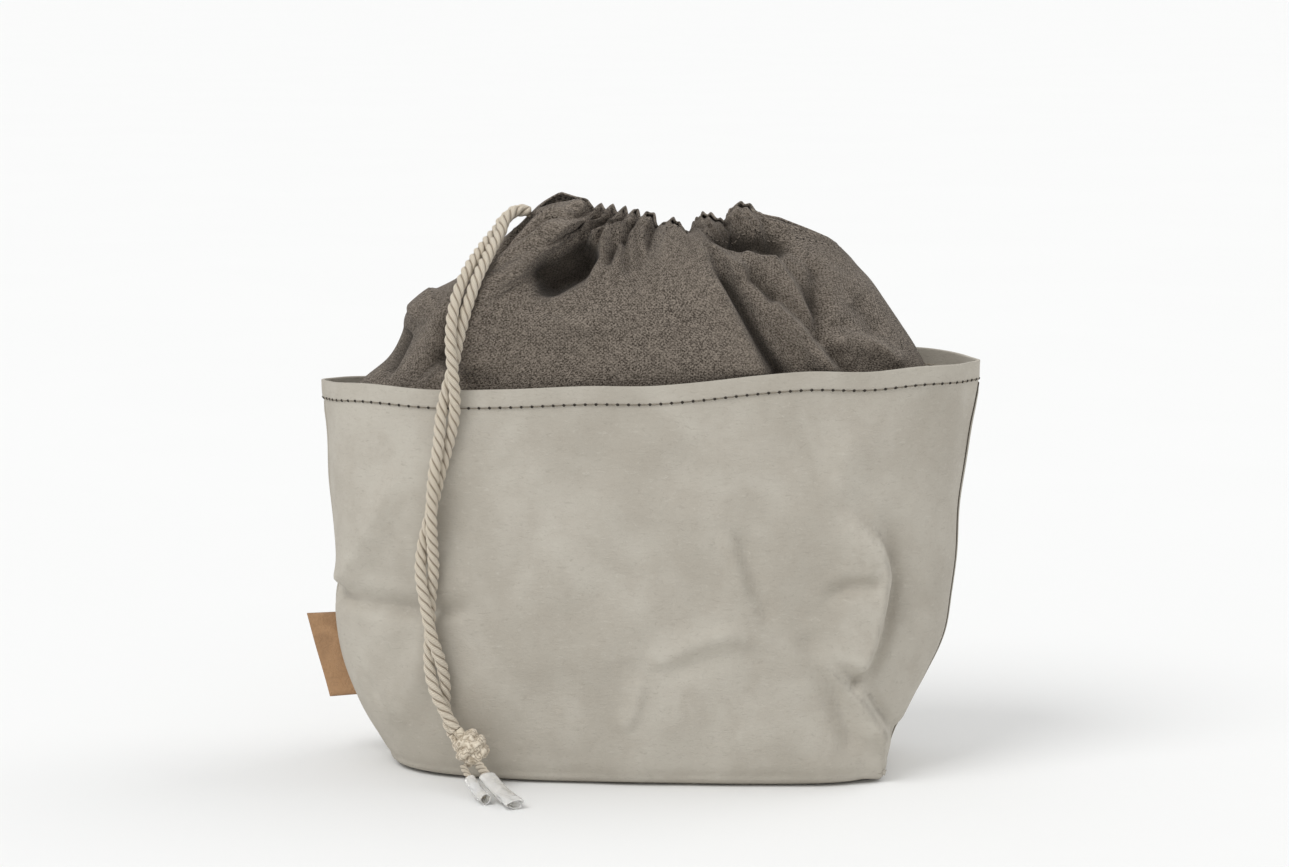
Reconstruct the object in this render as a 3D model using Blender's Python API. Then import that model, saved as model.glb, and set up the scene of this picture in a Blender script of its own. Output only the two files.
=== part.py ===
"""Bread bag: an open paper-cloth shell with a boxed flat base, a cotton inner bag gathered by a
drawstring, two tails of twisted rope tied in one knot with clear end sleeves, and a side tag.

Built in metres with +Z up. The front faces -Y and the origin is the middle of the flat base.
Tables and folds are written in millimetres and turned into metres as the meshes are made.
"""

import math

import bmesh
import bpy
import numpy as np
from mathutils import Vector

MM = 0.001

# Sheets and gaps
SHELL_THICK = 1.6
LINER_THICK = 1.1
TOUCH_GAP = 0.3

# Shell
RIM_HEIGHT = 186.0
HEM_DEPTH = 8.0
HEM_STEP = 0.5
SEAM_PINCH = 4.0
PINCH_START = 90.0
SHELL_COLUMNS = 36
SHELL_ROWS = (0.0, 1.5, 6.0, 15.0, 27.0, 40.0, 54.0, 68.0, 82.0, 96.0, 112.0, 130.0, 148.0, 164.0)

# Inner bag
LINER_COLUMNS = 43
LINER_FLOOR = SHELL_THICK + TOUCH_GAP
PLEATS = 12.0
PLEAT_HEIGHT = 2.3
PLEAT_REACH = 13.0

# Rope, knot and sleeves
ROPE_DIAMETER = 5.5
ROPE_LAY = 15.0
ROPE_STEP = 2.5
KNOT_CENTRE = (-71.5, -65.0, 19.0)
KNOT_REACH = 10.5
SLEEVE_WALL = 0.5

# Tag
TAG_THICK = 1.4
TAG_WIDTH = 15.0

# Outline of the shell at each height: distance from the middle to each side, and how round the
# left and right corners are, from 1 for an ellipse to 0 for a square corner.
SECTION_COLUMNS = ("height", "left", "right", "front", "back", "round_left", "round_right")
SHELL_SECTIONS = (
    (0.0, 108.0, 110.0, 48.0, 48.0, 0.70, 0.46),
    (1.5, 113.0, 113.5, 52.0, 51.5, 0.70, 0.46),
    (6.0, 117.0, 115.5, 55.0, 54.5, 0.71, 0.47),
    (15.0, 122.5, 117.5, 57.5, 57.0, 0.73, 0.52),
    (30.0, 131.0, 125.0, 59.5, 59.0, 0.76, 0.62),
    (42.0, 136.3, 132.0, 60.5, 60.0, 0.78, 0.69),
    (63.0, 140.6, 140.4, 61.5, 60.0, 0.80, 0.74),
    (82.0, 140.4, 143.4, 61.5, 60.0, 0.80, 0.76),
    (88.0, 139.2, 144.1, 61.4, 60.0, 0.80, 0.76),
    (105.0, 141.4, 146.0, 61.0, 60.0, 0.80, 0.77),
    (133.0, 142.2, 147.8, 59.5, 58.5, 0.80, 0.78),
    (157.0, 142.6, 149.6, 57.0, 56.5, 0.80, 0.78),
    (186.0, 143.4, 151.6, 54.5, 55.0, 0.80, 0.78),
)

# Height of the rim along the front and the back, from the left corner to the right one.
RIM_COLUMNS = ("along", "front", "back")
RIM_LINE = (
    (-147.0, 177.5, 177.5),
    (-128.0, 179.8, 175.5),
    (-90.0, 179.0, 179.0),
    (-55.0, 180.2, 182.0),
    (-18.0, 182.2, 184.0),
    (8.0, 182.4, 185.0),
    (31.0, 184.4, 186.0),
    (57.0, 187.4, 187.0),
    (78.0, 189.0, 188.0),
    (106.0, 188.4, 189.5),
    (130.0, 190.0, 190.5),
    (155.0, 189.0, 189.0),
)

# Rows of the inner bag from its floor to its mouth: where the row meets the left and right seams,
# its depth to the front and back, and how far it is drawn in towards the gathered mouth.
LINER_COLUMN_NAMES = ("left", "left_height", "right", "right_height", "front", "back", "gather")
LINER_ROWS = (
    (94.0, 0.0, 92.0, 0.0, 37.0, 37.0, 0.00),
    (103.0, 3.0, 99.0, 3.0, 43.0, 43.0, 0.00),
    (114.0, 18.0, 106.0, 18.0, 47.0, 46.0, 0.00),
    (127.0, 48.0, 121.0, 48.0, 50.0, 49.0, 0.00),
    (130.0, 90.0, 131.0, 90.0, 51.0, 50.0, 0.00),
    (132.0, 130.0, 136.0, 133.0, 49.5, 49.0, 0.00),
    (134.0, 160.0, 137.0, 166.0, 48.0, 47.5, 0.00),
    (131.0, 175.0, 132.5, 182.0, 48.5, 47.5, 0.00),
    (117.0, 188.0, 126.0, 195.0, 49.0, 48.0, 0.02),
    (110.5, 199.5, 119.0, 206.0, 47.5, 46.5, 0.06),
    (107.5, 209.5, 111.0, 217.0, 45.0, 44.0, 0.13),
    (98.5, 217.5, 105.0, 225.5, 41.5, 40.5, 0.24),
    (83.5, 225.5, 100.0, 231.5, 36.5, 35.5, 0.38),
    (72.0, 235.5, 96.5, 236.0, 30.0, 29.5, 0.54),
    (61.5, 244.5, 93.5, 239.0, 22.5, 23.0, 0.72),
    (54.0, 251.0, 91.0, 241.0, 16.0, 17.5, 0.88),
    (49.5, 254.6, 89.8, 242.2, 14.0, 15.5, 0.97),
    (46.5, 257.0, 88.5, 243.2, 11.5, 13.0, 1.00),
)

# The gathered mouth from its left ear to its right ear: the share of the cloth used up, the
# height of the top edge in front and behind, and half the width of the mouth there.
MOUTH_COLUMNS = ("along", "cloth", "front", "back", "front_depth", "back_depth", "pleat")
MOUTH_LINE = (
    (-46.5, 0.000, 257.0, 257.0, 0.0, 0.0, 0.0),
    (-43.5, 0.012, 258.0, 260.0, 2.4, 2.4, 0.0),
    (-36.5, 0.035, 260.5, 264.5, 6.0, 4.0, 0.1),
    (-25.0, 0.075, 261.0, 260.5, 12.5, 7.0, 0.4),
    (-20.0, 0.120, 256.5, 257.0, 11.0, 9.0, 1.0),
    (-10.0, 0.260, 255.5, 256.0, 11.0, 11.0, 1.0),
    (2.0, 0.430, 254.5, 254.5, 12.0, 12.5, 1.0),
    (18.0, 0.580, 249.5, 249.5, 12.0, 13.0, 1.3),
    (30.0, 0.690, 252.5, 252.5, 10.5, 13.0, 1.4),
    (43.0, 0.800, 256.5, 257.0, 10.0, 11.0, 1.4),
    (54.0, 0.880, 257.5, 257.0, 8.0, 7.0, 1.0),
    (66.0, 0.920, 251.5, 252.0, 4.6, 4.6, 0.1),
    (78.0, 0.962, 247.5, 247.5, 3.2, 3.2, 0.0),
    (86.0, 0.990, 244.5, 244.5, 2.4, 2.4, 0.0),
    (88.5, 1.000, 243.2, 243.2, 0.0, 0.0, 0.0),
)

# Folds seen from the front, as ridges (+) or valleys (-): height, reach to the left and to the
# right hand of the route, how sharp the crest is, how much of each end fades out, and the route.
FOLD_COLUMNS = ("height", "reach_left", "reach_right", "sharp", "fade_in", "fade_out", "route")
SHELL_FRONT_FOLDS = (
    (
        8.0, 4.5, 26.0, 0.35, 0.35, 0.10,
        ((93, 134), (102, 119), (110, 110), (113, 97), (111, 84), (107, 66), (100, 49)),
    ),
    (-4.0, 16.0, 5.0, 0.3, 0.30, 0.30, ((108, 132), (116, 116), (121, 98), (119, 80), (113, 60))),
    (-4.5, 7.0, 7.0, 0.3, 0.50, 0.08, ((84, 86), (97, 92), (111, 93))),
    (5.0, 5.0, 10.0, 0.5, 0.35, 0.15, ((76, 68), (97, 47), (104, 38), (108, 28), (111, 18))),
    (-3.5, 8.0, 8.0, 0.3, 0.30, 0.15, ((73, 78), (83, 59), (92, 43), (98, 23), (101, 12))),
    (-4.0, 4.0, 4.0, 0.5, 0.30, 0.30, ((106, 55), (101, 49), (97, 45))),
    (5.0, 6.0, 8.0, 0.6, 0.30, 0.02, ((107, 34), (110, 20), (110, 2))),
    (2.2, 14.0, 5.0, 0.5, 0.25, 0.30, ((2, 60), (8, 55), (28, 66), (45, 71), (62, 65))),
    (-1.6, 5.0, 12.0, 0.3, 0.30, 0.30, ((12, 50), (30, 59), (48, 64), (64, 58))),
    (1.8, 5.0, 10.0, 0.5, 0.20, 0.30, ((6, 52), (2, 34), (-6, 24))),
    (-2.6, 9.0, 5.0, 0.4, 0.25, 0.25, ((45, 121), (51, 108), (58, 87), (64, 70))),
    (2.0, 4.0, 9.0, 0.5, 0.30, 0.30, ((41, 120), (47, 107), (53, 86))),
    (2.0, 14.0, 12.0, 0.3, 0.40, 0.40, ((99, 166), (94, 145), (91, 122))),
    (-5.0, 10.0, 7.0, 0.5, 0.02, 0.45, ((-141, 80), (-118, 79), (-90, 78), (-62, 82))),
    (4.0, 12.0, 12.0, 0.7, 0.04, 0.30, ((-138, 84), (-127, 100), (-114, 124), (-104, 146))),
    (2.0, 14.0, 14.0, 0.2, 0.25, 0.25, ((-92, 64), (-104, 40), (-108, 20))),
    (-1.6, 18.0, 18.0, 0.1, 0.25, 0.25, ((-30, 150), (0, 140), (36, 146))),
    (1.8, 22.0, 20.0, 0.1, 0.25, 0.25, ((-60, 50), (-20, 62), (18, 84))),
)
SHELL_BACK_FOLDS = (
    (-4.0, 8.0, 9.0, 0.6, 0.10, 0.30, ((134, 84), (104, 78), (66, 82))),
    (3.0, 12.0, 10.0, 0.4, 0.25, 0.15, ((100, 132), (114, 106), (128, 88))),
    (-3.0, 8.0, 10.0, 0.6, 0.20, 0.30, ((-126, 70), (-96, 64), (-62, 72))),
    (2.4, 14.0, 12.0, 0.3, 0.25, 0.25, ((-96, 140), (-88, 112), (-94, 84))),
    (-2.2, 8.0, 8.0, 0.7, 0.25, 0.30, ((-20, 60), (6, 64), (30, 58))),
    (2.0, 22.0, 20.0, 0.1, 0.25, 0.25, ((-34, 120), (0, 108), (40, 118))),
)
LINER_FRONT_FOLDS = (
    (
        8.5, 20.0, 6.0, 0.4, 0.05, 0.10,
        ((-24, 262), (-50, 243), (-63, 227), (-70, 214), (-75, 198), (-77, 182)),
    ),
    (-9.0, 8.0, 10.0, 0.3, 0.20, 0.10, ((-44, 256), (-59, 241), (-74, 222), (-82, 204), (-86, 184))),
    (-16.0, 10.0, 13.0, 0.2, 0.35, 0.10, ((-50, 226), (-38, 231), (-27, 237), (-19, 245))),
    (3.0, 6.0, 12.0, 0.3, 0.30, 0.30, ((-52, 213), (-36, 208), (-20, 210), (-4, 217))),
    (5.5, 6.0, 4.5, 0.4, 0.10, 0.30, ((-9, 254), (-15, 241), (-21, 222))),
    (-3.6, 3.0, 3.0, 0.4, 0.10, 0.30, ((-10, 250), (-12, 232))),
    (-4.0, 4.0, 3.5, 0.4, 0.10, 0.35, ((-5, 248), (-3, 228))),
    (
        8.0, 5.0, 26.0, 0.5, 0.20, 0.05,
        ((2, 253), (14, 248), (25, 242), (36, 230), (45, 215), (54, 199), (63, 184)),
    ),
    (-9.0, 6.0, 6.0, 0.3, 0.20, 0.05, ((32, 238), (43, 225), (52, 209), (61, 193), (68, 182))),
    (6.0, 5.0, 7.0, 0.5, 0.20, 0.05, ((14, 251), (27, 245), (48, 230), (63, 215), (79, 199), (92, 184))),
    (8.0, 5.0, 11.0, 0.4, 0.15, 0.20, ((43, 233), (50, 237), (61, 234), (70, 223), (78, 210), (80, 200))),
    (-6.5, 6.5, 6.5, 0.2, 0.20, 0.20, ((49, 231), (56, 225), (64, 216))),
    (-10.0, 7.0, 5.5, 0.3, 0.15, 0.20, ((30, 245), (43, 245), (56, 245), (70, 239))),
    (-3.5, 5.0, 6.0, 0.6, 0.20, 0.20, ((80, 236), (81, 220), (82, 204))),
    (3.0, 9.0, 8.0, 0.4, 0.20, 0.20, ((91, 234), (87, 220), (91, 206))),
    (-3.0, 9.0, 8.0, 0.2, 0.20, 0.20, ((98, 220), (111, 202))),
    (4.0, 7.0, 6.0, 0.4, 0.20, 0.15, ((80, 200), (97, 200), (110, 196), (122, 187))),
    (-3.5, 4.0, 5.0, 0.5, 0.10, 0.10, ((-107, 203), (-116, 178))),
    (-3.5, 5.0, 5.0, 0.5, 0.10, 0.10, ((-88, 196), (-103, 176))),
    (3.0, 8.0, 8.0, 0.3, 0.20, 0.20, ((-106, 208), (-92, 221))),
)
LINER_BACK_FOLDS = (
    (5.5, 16.0, 6.0, 0.5, 0.10, 0.05, ((42, 258), (58, 240), (72, 220), (82, 200), (86, 182))),
    (-7.0, 8.0, 8.0, 0.3, 0.20, 0.05, ((58, 248), (76, 226), (88, 206), (96, 184))),
    (-8.0, 12.0, 12.0, 0.2, 0.20, 0.20, ((22, 240), (34, 228), (48, 222))),
    (5.0, 16.0, 5.0, 0.5, 0.10, 0.05, ((-8, 254), (-20, 238), (-34, 216), (-44, 184))),
    (-6.0, 6.0, 6.0, 0.3, 0.20, 0.05, ((-24, 244), (-38, 224), (-52, 204), (-60, 184))),
    (5.0, 6.0, 8.0, 0.5, 0.15, 0.05, ((-34, 250), (-54, 228), (-70, 206), (-80, 184))),
    (3.5, 9.0, 9.0, 0.4, 0.20, 0.20, ((0, 232), (4, 206), (-2, 186))),
    (-4.0, 6.0, 6.0, 0.5, 0.20, 0.10, ((-92, 214), (-104, 186))),
)

# The pair of rope tails from the left ear of the mouth to the knot: the middle of the pair, how
# far the pair has turned about itself in degrees, and half the distance between the two ropes.
ROPE_COLUMNS = ("x", "y", "z", "turn", "spread")
ROPE_ROUTE = (
    (-51.0, -0.8, 256.3, 90.0, 2.95),
    (-56.0, -2.7, 256.3, 90.0, 2.95),
    (-60.6, -7.8, 253.4, 84.0, 2.95),
    (-63.8, -16.5, 247.4, 64.0, 2.95),
    (-68.2, -29.0, 239.4, 42.0, 2.95),
    (-72.6, -41.2, 230.2, 16.0, 2.95),
    (-76.2, -48.4, 219.0, -14.0, 2.95),
    (-79.0, -53.2, 203.0, -58.0, 2.95),
    (-79.8, -54.7, 190.0, -94.0, 2.95),
    (-81.2, -55.2, 176.0, -150.0, 2.95),
    (-83.6, -56.4, 158.0, -222.0, 2.95),
    (-87.0, -58.4, 141.0, -249.0, 2.95),
    (-89.3, -58.6, 126.0, -276.0, 2.95),
    (-91.6, -57.0, 106.0, -338.0, 2.95),
    (-91.6, -58.2, 87.0, -424.0, 2.95),
    (-89.8, -59.2, 67.0, -473.0, 2.95),
    (-86.9, -59.4, 49.0, -560.0, 2.95),
    (-83.4, -61.0, 34.0, -640.0, 2.95),
    (-79.0, -64.0, 26.0, -668.0, 2.95),
    (-74.5, -65.0, 21.0, -680.0, 2.95),
)

# The two rope ends below the knot, each in a clear sleeve: start and end of the end piece, its
# half width and half height, the sleeve's start along it and its half width and half height.
END_COLUMNS = ("name", "start", "end", "wide", "high", "cover", "sleeve_wide", "sleeve_high")
ROPE_ENDS = (
    ("left", (-74.5, -70.4, 11.7), (-61.5, -95.0, 2.8), 1.6, 1.6, 0.32, 2.6, 2.6),
    ("right", (-68.1, -69.8, 13.3), (-47.5, -102.0, 2.4), 2.2, 1.2, 0.26, 4.2, 2.2),
)

# Colours as read from the cloth, and how rough each finish is.
FINISHES = {
    "paper_cloth": ((0.45, 0.41, 0.35, 1.0), 0.78),
    "liner_cotton": ((0.115, 0.095, 0.08, 1.0), 0.92),
    "rope_cotton": ((0.60, 0.53, 0.42, 1.0), 0.95),
    "clear_sleeve": ((0.80, 0.80, 0.78, 1.0), 0.20),
    "tag_leather": ((0.36, 0.17, 0.07, 1.0), 0.60),
}


def column(table, names, name):
    """One named column of a table as an array."""
    return np.array([row[names.index(name)] for row in table], float)


def curve_through(knots, values, at):
    """Smooth curve through a table's values, without overshoot at its ends."""
    knots, values, at = (np.asarray(item, float) for item in (knots, values, at))
    slopes = np.gradient(values, knots)
    place = np.clip(np.searchsorted(knots, at) - 1, 0, len(knots) - 2)
    width = knots[place + 1] - knots[place]
    t = np.clip((at - knots[place]) / width, 0.0, 1.0)
    start = values[place] * (1 + 2 * t) + slopes[place] * width * t
    end = values[place + 1] * (3 - 2 * t) - slopes[place + 1] * width * (1 - t)
    return start * (1 - t) ** 2 + end * t**2


def smooth(t):
    """Ease from 0 to 1."""
    t = np.clip(t, 0.0, 1.0)
    return t * t * (3 - 2 * t)


def round_outline(left, right, depth, round_left, round_right, count):
    """Half an outline from the left seam to the right one, in equal steps along its length."""
    angle = np.linspace(0.0, math.pi, 1601)
    power = np.where(angle < math.pi / 2, round_left, round_right)
    reach = np.where(angle < math.pi / 2, left, right)
    across = -np.sign(np.cos(angle)) * reach * np.abs(np.cos(angle)) ** power
    deep = depth * np.abs(np.sin(angle)) ** power
    length = np.concatenate([[0.0], np.cumsum(np.hypot(np.diff(across), np.diff(deep)))])
    steps = np.linspace(0.0, length[-1], count + 1)
    return np.interp(steps, length, across), np.interp(steps, length, deep)


def closed_ring(front, back):
    """Front half from left to right, then back half from right to left, without doubled ends."""
    return np.concatenate([front[:-1], back[:0:-1]])


def outward(grid):
    """Outward direction of each point of a grid of rings."""
    around = np.roll(grid, -1, axis=1) - np.roll(grid, 1, axis=1)
    upward = np.gradient(grid, axis=0)
    normal = np.cross(around, upward)
    return normal / np.maximum(np.linalg.norm(normal, axis=2, keepdims=True), 1e-9)


def fold_relief(folds, x, z):
    """Height of all folds at points of a panel seen face on."""
    relief = np.zeros_like(x)
    for row in folds:
        fold = dict(zip(FOLD_COLUMNS, row))
        nearest = np.full(x.shape, np.inf)
        signed = np.zeros_like(x)
        along = np.zeros_like(x)
        route = np.array(fold["route"], float)
        lengths = np.hypot(*np.diff(route, axis=0).T)
        starts = np.concatenate([[0.0], np.cumsum(lengths)])
        for i, length in enumerate(lengths):
            way = (route[i + 1] - route[i]) / length
            dx, dz = x - route[i, 0], z - route[i, 1]
            t = np.clip(dx * way[0] + dz * way[1], 0.0, length)
            distance = np.hypot(dx - t * way[0], dz - t * way[1])
            closer = distance < nearest
            side = np.where(way[0] * dz - way[1] * dx >= 0, 1.0, -1.0)
            nearest = np.where(closer, distance, nearest)
            signed = np.where(closer, side, signed)
            along = np.where(closer, (starts[i] + t) / starts[-1], along)
        reach = np.where(signed > 0, fold["reach_left"], fold["reach_right"])
        t = np.clip(nearest / reach, 0.0, 1.0)
        profile = (1 - t) ** 2 * (1 + 2 * t * (1 - fold["sharp"]))
        ends = smooth(along / fold["fade_in"]) * smooth((1 - along) / fold["fade_out"])
        relief += fold["height"] * profile * ends
    return relief


def unevenness(x, z, size):
    """Slow, shallow waves that keep a sheet from being perfectly even."""
    slow = np.sin(x * 0.061 + 1.3) * np.sin(z * 0.052 + 0.4)
    quick = np.sin(x * 0.137 - z * 0.093 + 2.1) * 0.5 + np.sin(x * 0.081 + z * 0.149) * 0.35
    return size * (slow + quick)


def shell_grid(heights, columns):
    """Points of the shell's outer face, one closed ring for each height."""
    along = column(RIM_LINE, RIM_COLUMNS, "along")
    section = {
        name: curve_through(
            column(SHELL_SECTIONS, SECTION_COLUMNS, "height"),
            column(SHELL_SECTIONS, SECTION_COLUMNS, name),
            heights,
        )
        for name in SECTION_COLUMNS
    }
    rings = []
    for row, height in enumerate(heights):
        halves = []
        for side, depth_name in ((-1, "front"), (1, "back")):
            x, deep = round_outline(
                section["left"][row], section["right"][row], section[depth_name][row],
                section["round_left"][row], section["round_right"][row], columns,
            )
            part = np.linspace(0.0, 1.0, columns + 1)
            near_seam = np.exp(-((part / 0.025) ** 2)) - np.exp(-(((1 - part) / 0.025) ** 2))
            pinched = smooth((height - PINCH_START) / (RIM_HEIGHT - PINCH_START))
            x = x - SEAM_PINCH * pinched * near_seam
            rim = curve_through(along, column(RIM_LINE, RIM_COLUMNS, depth_name), x)
            lift = (rim - RIM_HEIGHT) * smooth(height / RIM_HEIGHT)
            halves.append(np.stack([x, side * deep, height + lift], axis=1))
        rings.append(closed_ring(*halves))
    grid = np.array(rings)
    x, y, z = grid[..., 0], grid[..., 1], grid[..., 2]
    facing = smooth(np.abs(y) / 16.0)
    front = fold_relief(SHELL_FRONT_FOLDS, x, z) * (y < 0)
    back = fold_relief(SHELL_BACK_FOLDS, x, z) * (y > 0)
    level = np.asarray(heights)[:, None]
    calm = smooth(level / 5.0) * smooth((RIM_HEIGHT - level) / 12.0)
    relief = ((front + back) * facing + unevenness(x, z, 0.7)) * calm
    relief += HEM_STEP * smooth((level - (RIM_HEIGHT - HEM_DEPTH - 1.0)) / 1.0)
    return grid + outward(grid) * relief[..., None]


def liner_grid(rows, columns):
    """Points of the inner bag's outer face; rows are places along the row table."""
    table = {
        name: curve_through(
            np.arange(len(LINER_ROWS)), column(LINER_ROWS, LINER_COLUMN_NAMES, name), rows
        )
        for name in LINER_COLUMN_NAMES
    }
    mouth = {name: column(MOUTH_LINE, MOUTH_COLUMNS, name) for name in MOUTH_COLUMNS}
    part = np.linspace(0.0, 1.0, columns + 1)
    rings, pleats = [], []
    for row in range(len(rows)):
        gather = np.clip(table["gather"][row], 0.0, 1.0)
        left, right = -table["left"][row], table["right"][row]
        left_height, right_height = table["left_height"][row], table["right_height"][row]
        halves, pleat_halves = [], []
        for side, name in ((-1, "front"), (1, "back")):
            depth = table[name][row]
            wide, deep = round_outline(1.0, 1.0, 1.0, 0.86, 0.86, columns)
            drawn = np.interp(part, mouth["cloth"], mouth["along"])
            share = (drawn - drawn[0]) / (drawn[-1] - drawn[0])
            share = (1 - gather) * (wide + 1) / 2 + gather * share
            x = left + (right - left) * share
            at_mouth = mouth["along"][0] + share * (mouth["along"][-1] - mouth["along"][0])
            level = left_height + (right_height - left_height) * share
            chord = mouth[name][0] + (mouth[name][-1] - mouth[name][0]) * share
            rise = np.interp(at_mouth, mouth["along"], mouth[name]) - chord
            edge = np.interp(at_mouth, mouth["along"], mouth[name + "_depth"])
            edge = edge * depth / LINER_ROWS[-1][LINER_COLUMN_NAMES.index(name)]
            even = np.interp(share, (wide + 1) / 2, deep) * depth
            y = (1 - gather) * even + gather * edge
            halves.append(np.stack([x, side * y, level + rise * gather**1.5], axis=1))
            pleat_halves.append(np.interp(part, mouth["cloth"], mouth["pleat"]))
        rings.append(closed_ring(*halves))
        pleats.append(closed_ring(*pleat_halves))
    grid = np.array(rings)
    x, y, z = grid[..., 0], grid[..., 1], grid[..., 2]
    front = fold_relief(LINER_FRONT_FOLDS, x, z) * (y < 0)
    back = fold_relief(LINER_BACK_FOLDS, x, z) * (y > 0)
    gather = table["gather"][:, None]
    above = smooth((z - 176.0) / 14.0)
    below_mouth = 1 - smooth((gather - 0.80) / 0.2) * 0.8
    relief = (front + back) * above * smooth(np.abs(y) / 9.0) * below_mouth
    cloth = np.concatenate([part[:-1], part[:0:-1]])
    wave = np.abs(np.sin(math.pi * PLEATS * cloth * (1 + 0.12 * np.sin(5 * cloth)) + 1.9))
    drop = (z.max(axis=0) - z) / PLEAT_REACH
    relief += PLEAT_HEIGHT * np.array(pleats) * (2.6 * wave - 1.6) * np.exp(-(drop**2) / 2.5)
    relief += unevenness(x + 40.0, z, 0.6) * above
    relief[np.arange(len(rows))[:, None].repeat(x.shape[1], 1) < 2] = 0.0
    return grid + outward(grid) * relief[..., None]


def new_object(name, mesh, finish):
    """Link a mesh as an object with its own finish."""
    thing = bpy.data.objects.new(name, mesh)
    bpy.context.scene.collection.objects.link(thing)
    material = bpy.data.materials.new(name + "_finish")
    material.use_nodes = True
    colour, roughness = FINISHES[finish]
    shader = material.node_tree.nodes["Principled BSDF"]
    shader.inputs["Base Color"].default_value = colour
    shader.inputs["Roughness"].default_value = roughness
    shader.inputs["Metallic"].default_value = 0.0
    mesh.materials.append(material)
    return thing


def sheet_faces(rows, around):
    """Quads between the rings, and a closed base of triangles inside the lowest ring."""
    faces = []
    for row in range(rows - 1):
        for i in range(around):
            after = (i + 1) % around
            low, high = row * around, (row + 1) * around
            faces.append((low + i, low + after, high + after, high + i))
    middle, inner = rows * around, rows * around + 1
    for i in range(around):
        after = (i + 1) % around
        faces.append((inner + i, inner + after, after, i))
        faces.append((middle, inner + after, inner + i))
    return faces


def make_sheet(name, grid, floor, thick, finish):
    """A bag-shaped sheet: rings from the flat base to the open top, given its thickness."""
    rows, around = grid.shape[:2]
    centre = np.array([grid[0, :, 0].mean(), grid[0, :, 1].mean(), floor])
    inner = centre + (grid[0] - centre) * 0.55
    points = np.concatenate([grid.reshape(-1, 3), centre[None], inner]) * MM
    mesh = bpy.data.meshes.new(name)
    mesh.from_pydata(points.tolist(), [], sheet_faces(rows, around))
    mesh.shade_smooth()
    thing = new_object(name, mesh, finish)
    wall = thing.modifiers.new("thickness", "SOLIDIFY")
    wall.thickness = thick * MM
    wall.offset = -1.0
    return thing


def make_shell():
    """Outer bag, with its folded hem as part of the sheet."""
    hem_line = RIM_HEIGHT - HEM_DEPTH
    heights = np.array(SHELL_ROWS + (hem_line - 1.0, hem_line, RIM_HEIGHT))
    make_sheet("shell", shell_grid(heights, SHELL_COLUMNS), 0.0, SHELL_THICK, "paper_cloth")


def make_liner():
    """Inner bag, with its drawstring channel drawn in at the mouth."""
    grid = liner_grid(np.arange(len(LINER_ROWS), dtype=float), LINER_COLUMNS)
    grid[..., 2] += LINER_FLOOR * (1 - smooth(grid[..., 2] / 150.0))
    make_sheet("liner", grid, LINER_FLOOR, LINER_THICK, "liner_cotton")


def rope_pair(step):
    """Centre lines of the two tails, read from smooth curves through the route's points."""
    route = {name: column(ROPE_ROUTE, ROPE_COLUMNS, name) for name in ROPE_COLUMNS}
    middle = np.stack([route["x"], route["y"], route["z"]], axis=1)
    knots = np.concatenate([[0.0], np.cumsum(np.linalg.norm(np.diff(middle, axis=0), axis=1))])
    at = np.linspace(0.0, knots[-1], int(round(knots[-1] / step)) + 1)
    smoothed = {name: curve_through(knots, route[name], at) for name in ROPE_COLUMNS}
    middle = np.stack([smoothed["x"], smoothed["y"], smoothed["z"]], axis=1)
    way = np.gradient(middle, axis=0)
    way /= np.linalg.norm(way, axis=1, keepdims=True)
    beside = np.cross(way, (0.0, 1.0, 0.0))
    beside /= np.linalg.norm(beside, axis=1, keepdims=True)
    ahead = np.cross(way, beside)
    turn = np.radians(smoothed["turn"])[:, None]
    offset = (beside * np.cos(turn) + ahead * np.sin(turn)) * smoothed["spread"][:, None]
    return middle - offset, middle + offset


def split_at_knot(line, reach):
    """A rope's centre line outside and inside this distance from the knot's middle."""
    distance = np.linalg.norm(line - np.array(KNOT_CENTRE), axis=1)
    last = int(np.flatnonzero(distance > reach)[-1])
    share = (distance[last] - reach) / (distance[last] - distance[last + 1])
    edge = line[last] + (line[last + 1] - line[last]) * share
    outside = line[: last if share < 0.5 else last + 1]
    return np.concatenate([outside, edge[None]]), np.concatenate([edge[None], line[last + 1 :]])


def twisted_rope(name, line):
    """A rope of three strands laid to the right, as one solid with a raised twist."""
    lobes = ((0.0, 1.0), (40.0, 0.74), (80.0, 0.74))
    around = [(120.0 * strand + turn, size) for strand in range(3) for turn, size in lobes]
    way = np.gradient(line, axis=0)
    way /= np.linalg.norm(way, axis=1, keepdims=True)
    length = np.concatenate([[0.0], np.cumsum(np.linalg.norm(np.diff(line, axis=0), axis=1))])
    side = np.cross(way[0], (0.0, 1.0, 0.0))
    rings = []
    for point, direction, reached in zip(line, way, length):
        side = side - direction * np.dot(side, direction)
        side /= np.linalg.norm(side)
        up = np.cross(direction, side)
        for degrees, size in around:
            angle = math.radians(degrees) - 2 * math.pi * reached / ROPE_LAY
            radius = ROPE_DIAMETER / 2 * size
            rings.append(point + radius * (side * math.cos(angle) + up * math.sin(angle)))
    count = len(around)
    faces = [tuple(reversed(range(count))), tuple(range(len(rings) - count, len(rings)))]
    for start in range(0, len(rings) - count, count):
        for i in range(count):
            after = (i + 1) % count
            faces.append((start + i, start + after, start + count + after, start + count + i))
    mesh = bpy.data.meshes.new(name)
    mesh.from_pydata((np.array(rings) * MM).tolist(), [], faces)
    mesh.shade_smooth()
    return new_object(name, mesh, "rope_cotton")


def make_ropes():
    """The two free tails of the drawstring, cut where they enter the knot."""
    for name, line in zip(("rope_left", "rope_right"), rope_pair(ROPE_STEP)):
        twisted_rope(name, split_at_knot(line, KNOT_REACH + TOUCH_GAP)[0])


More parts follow.
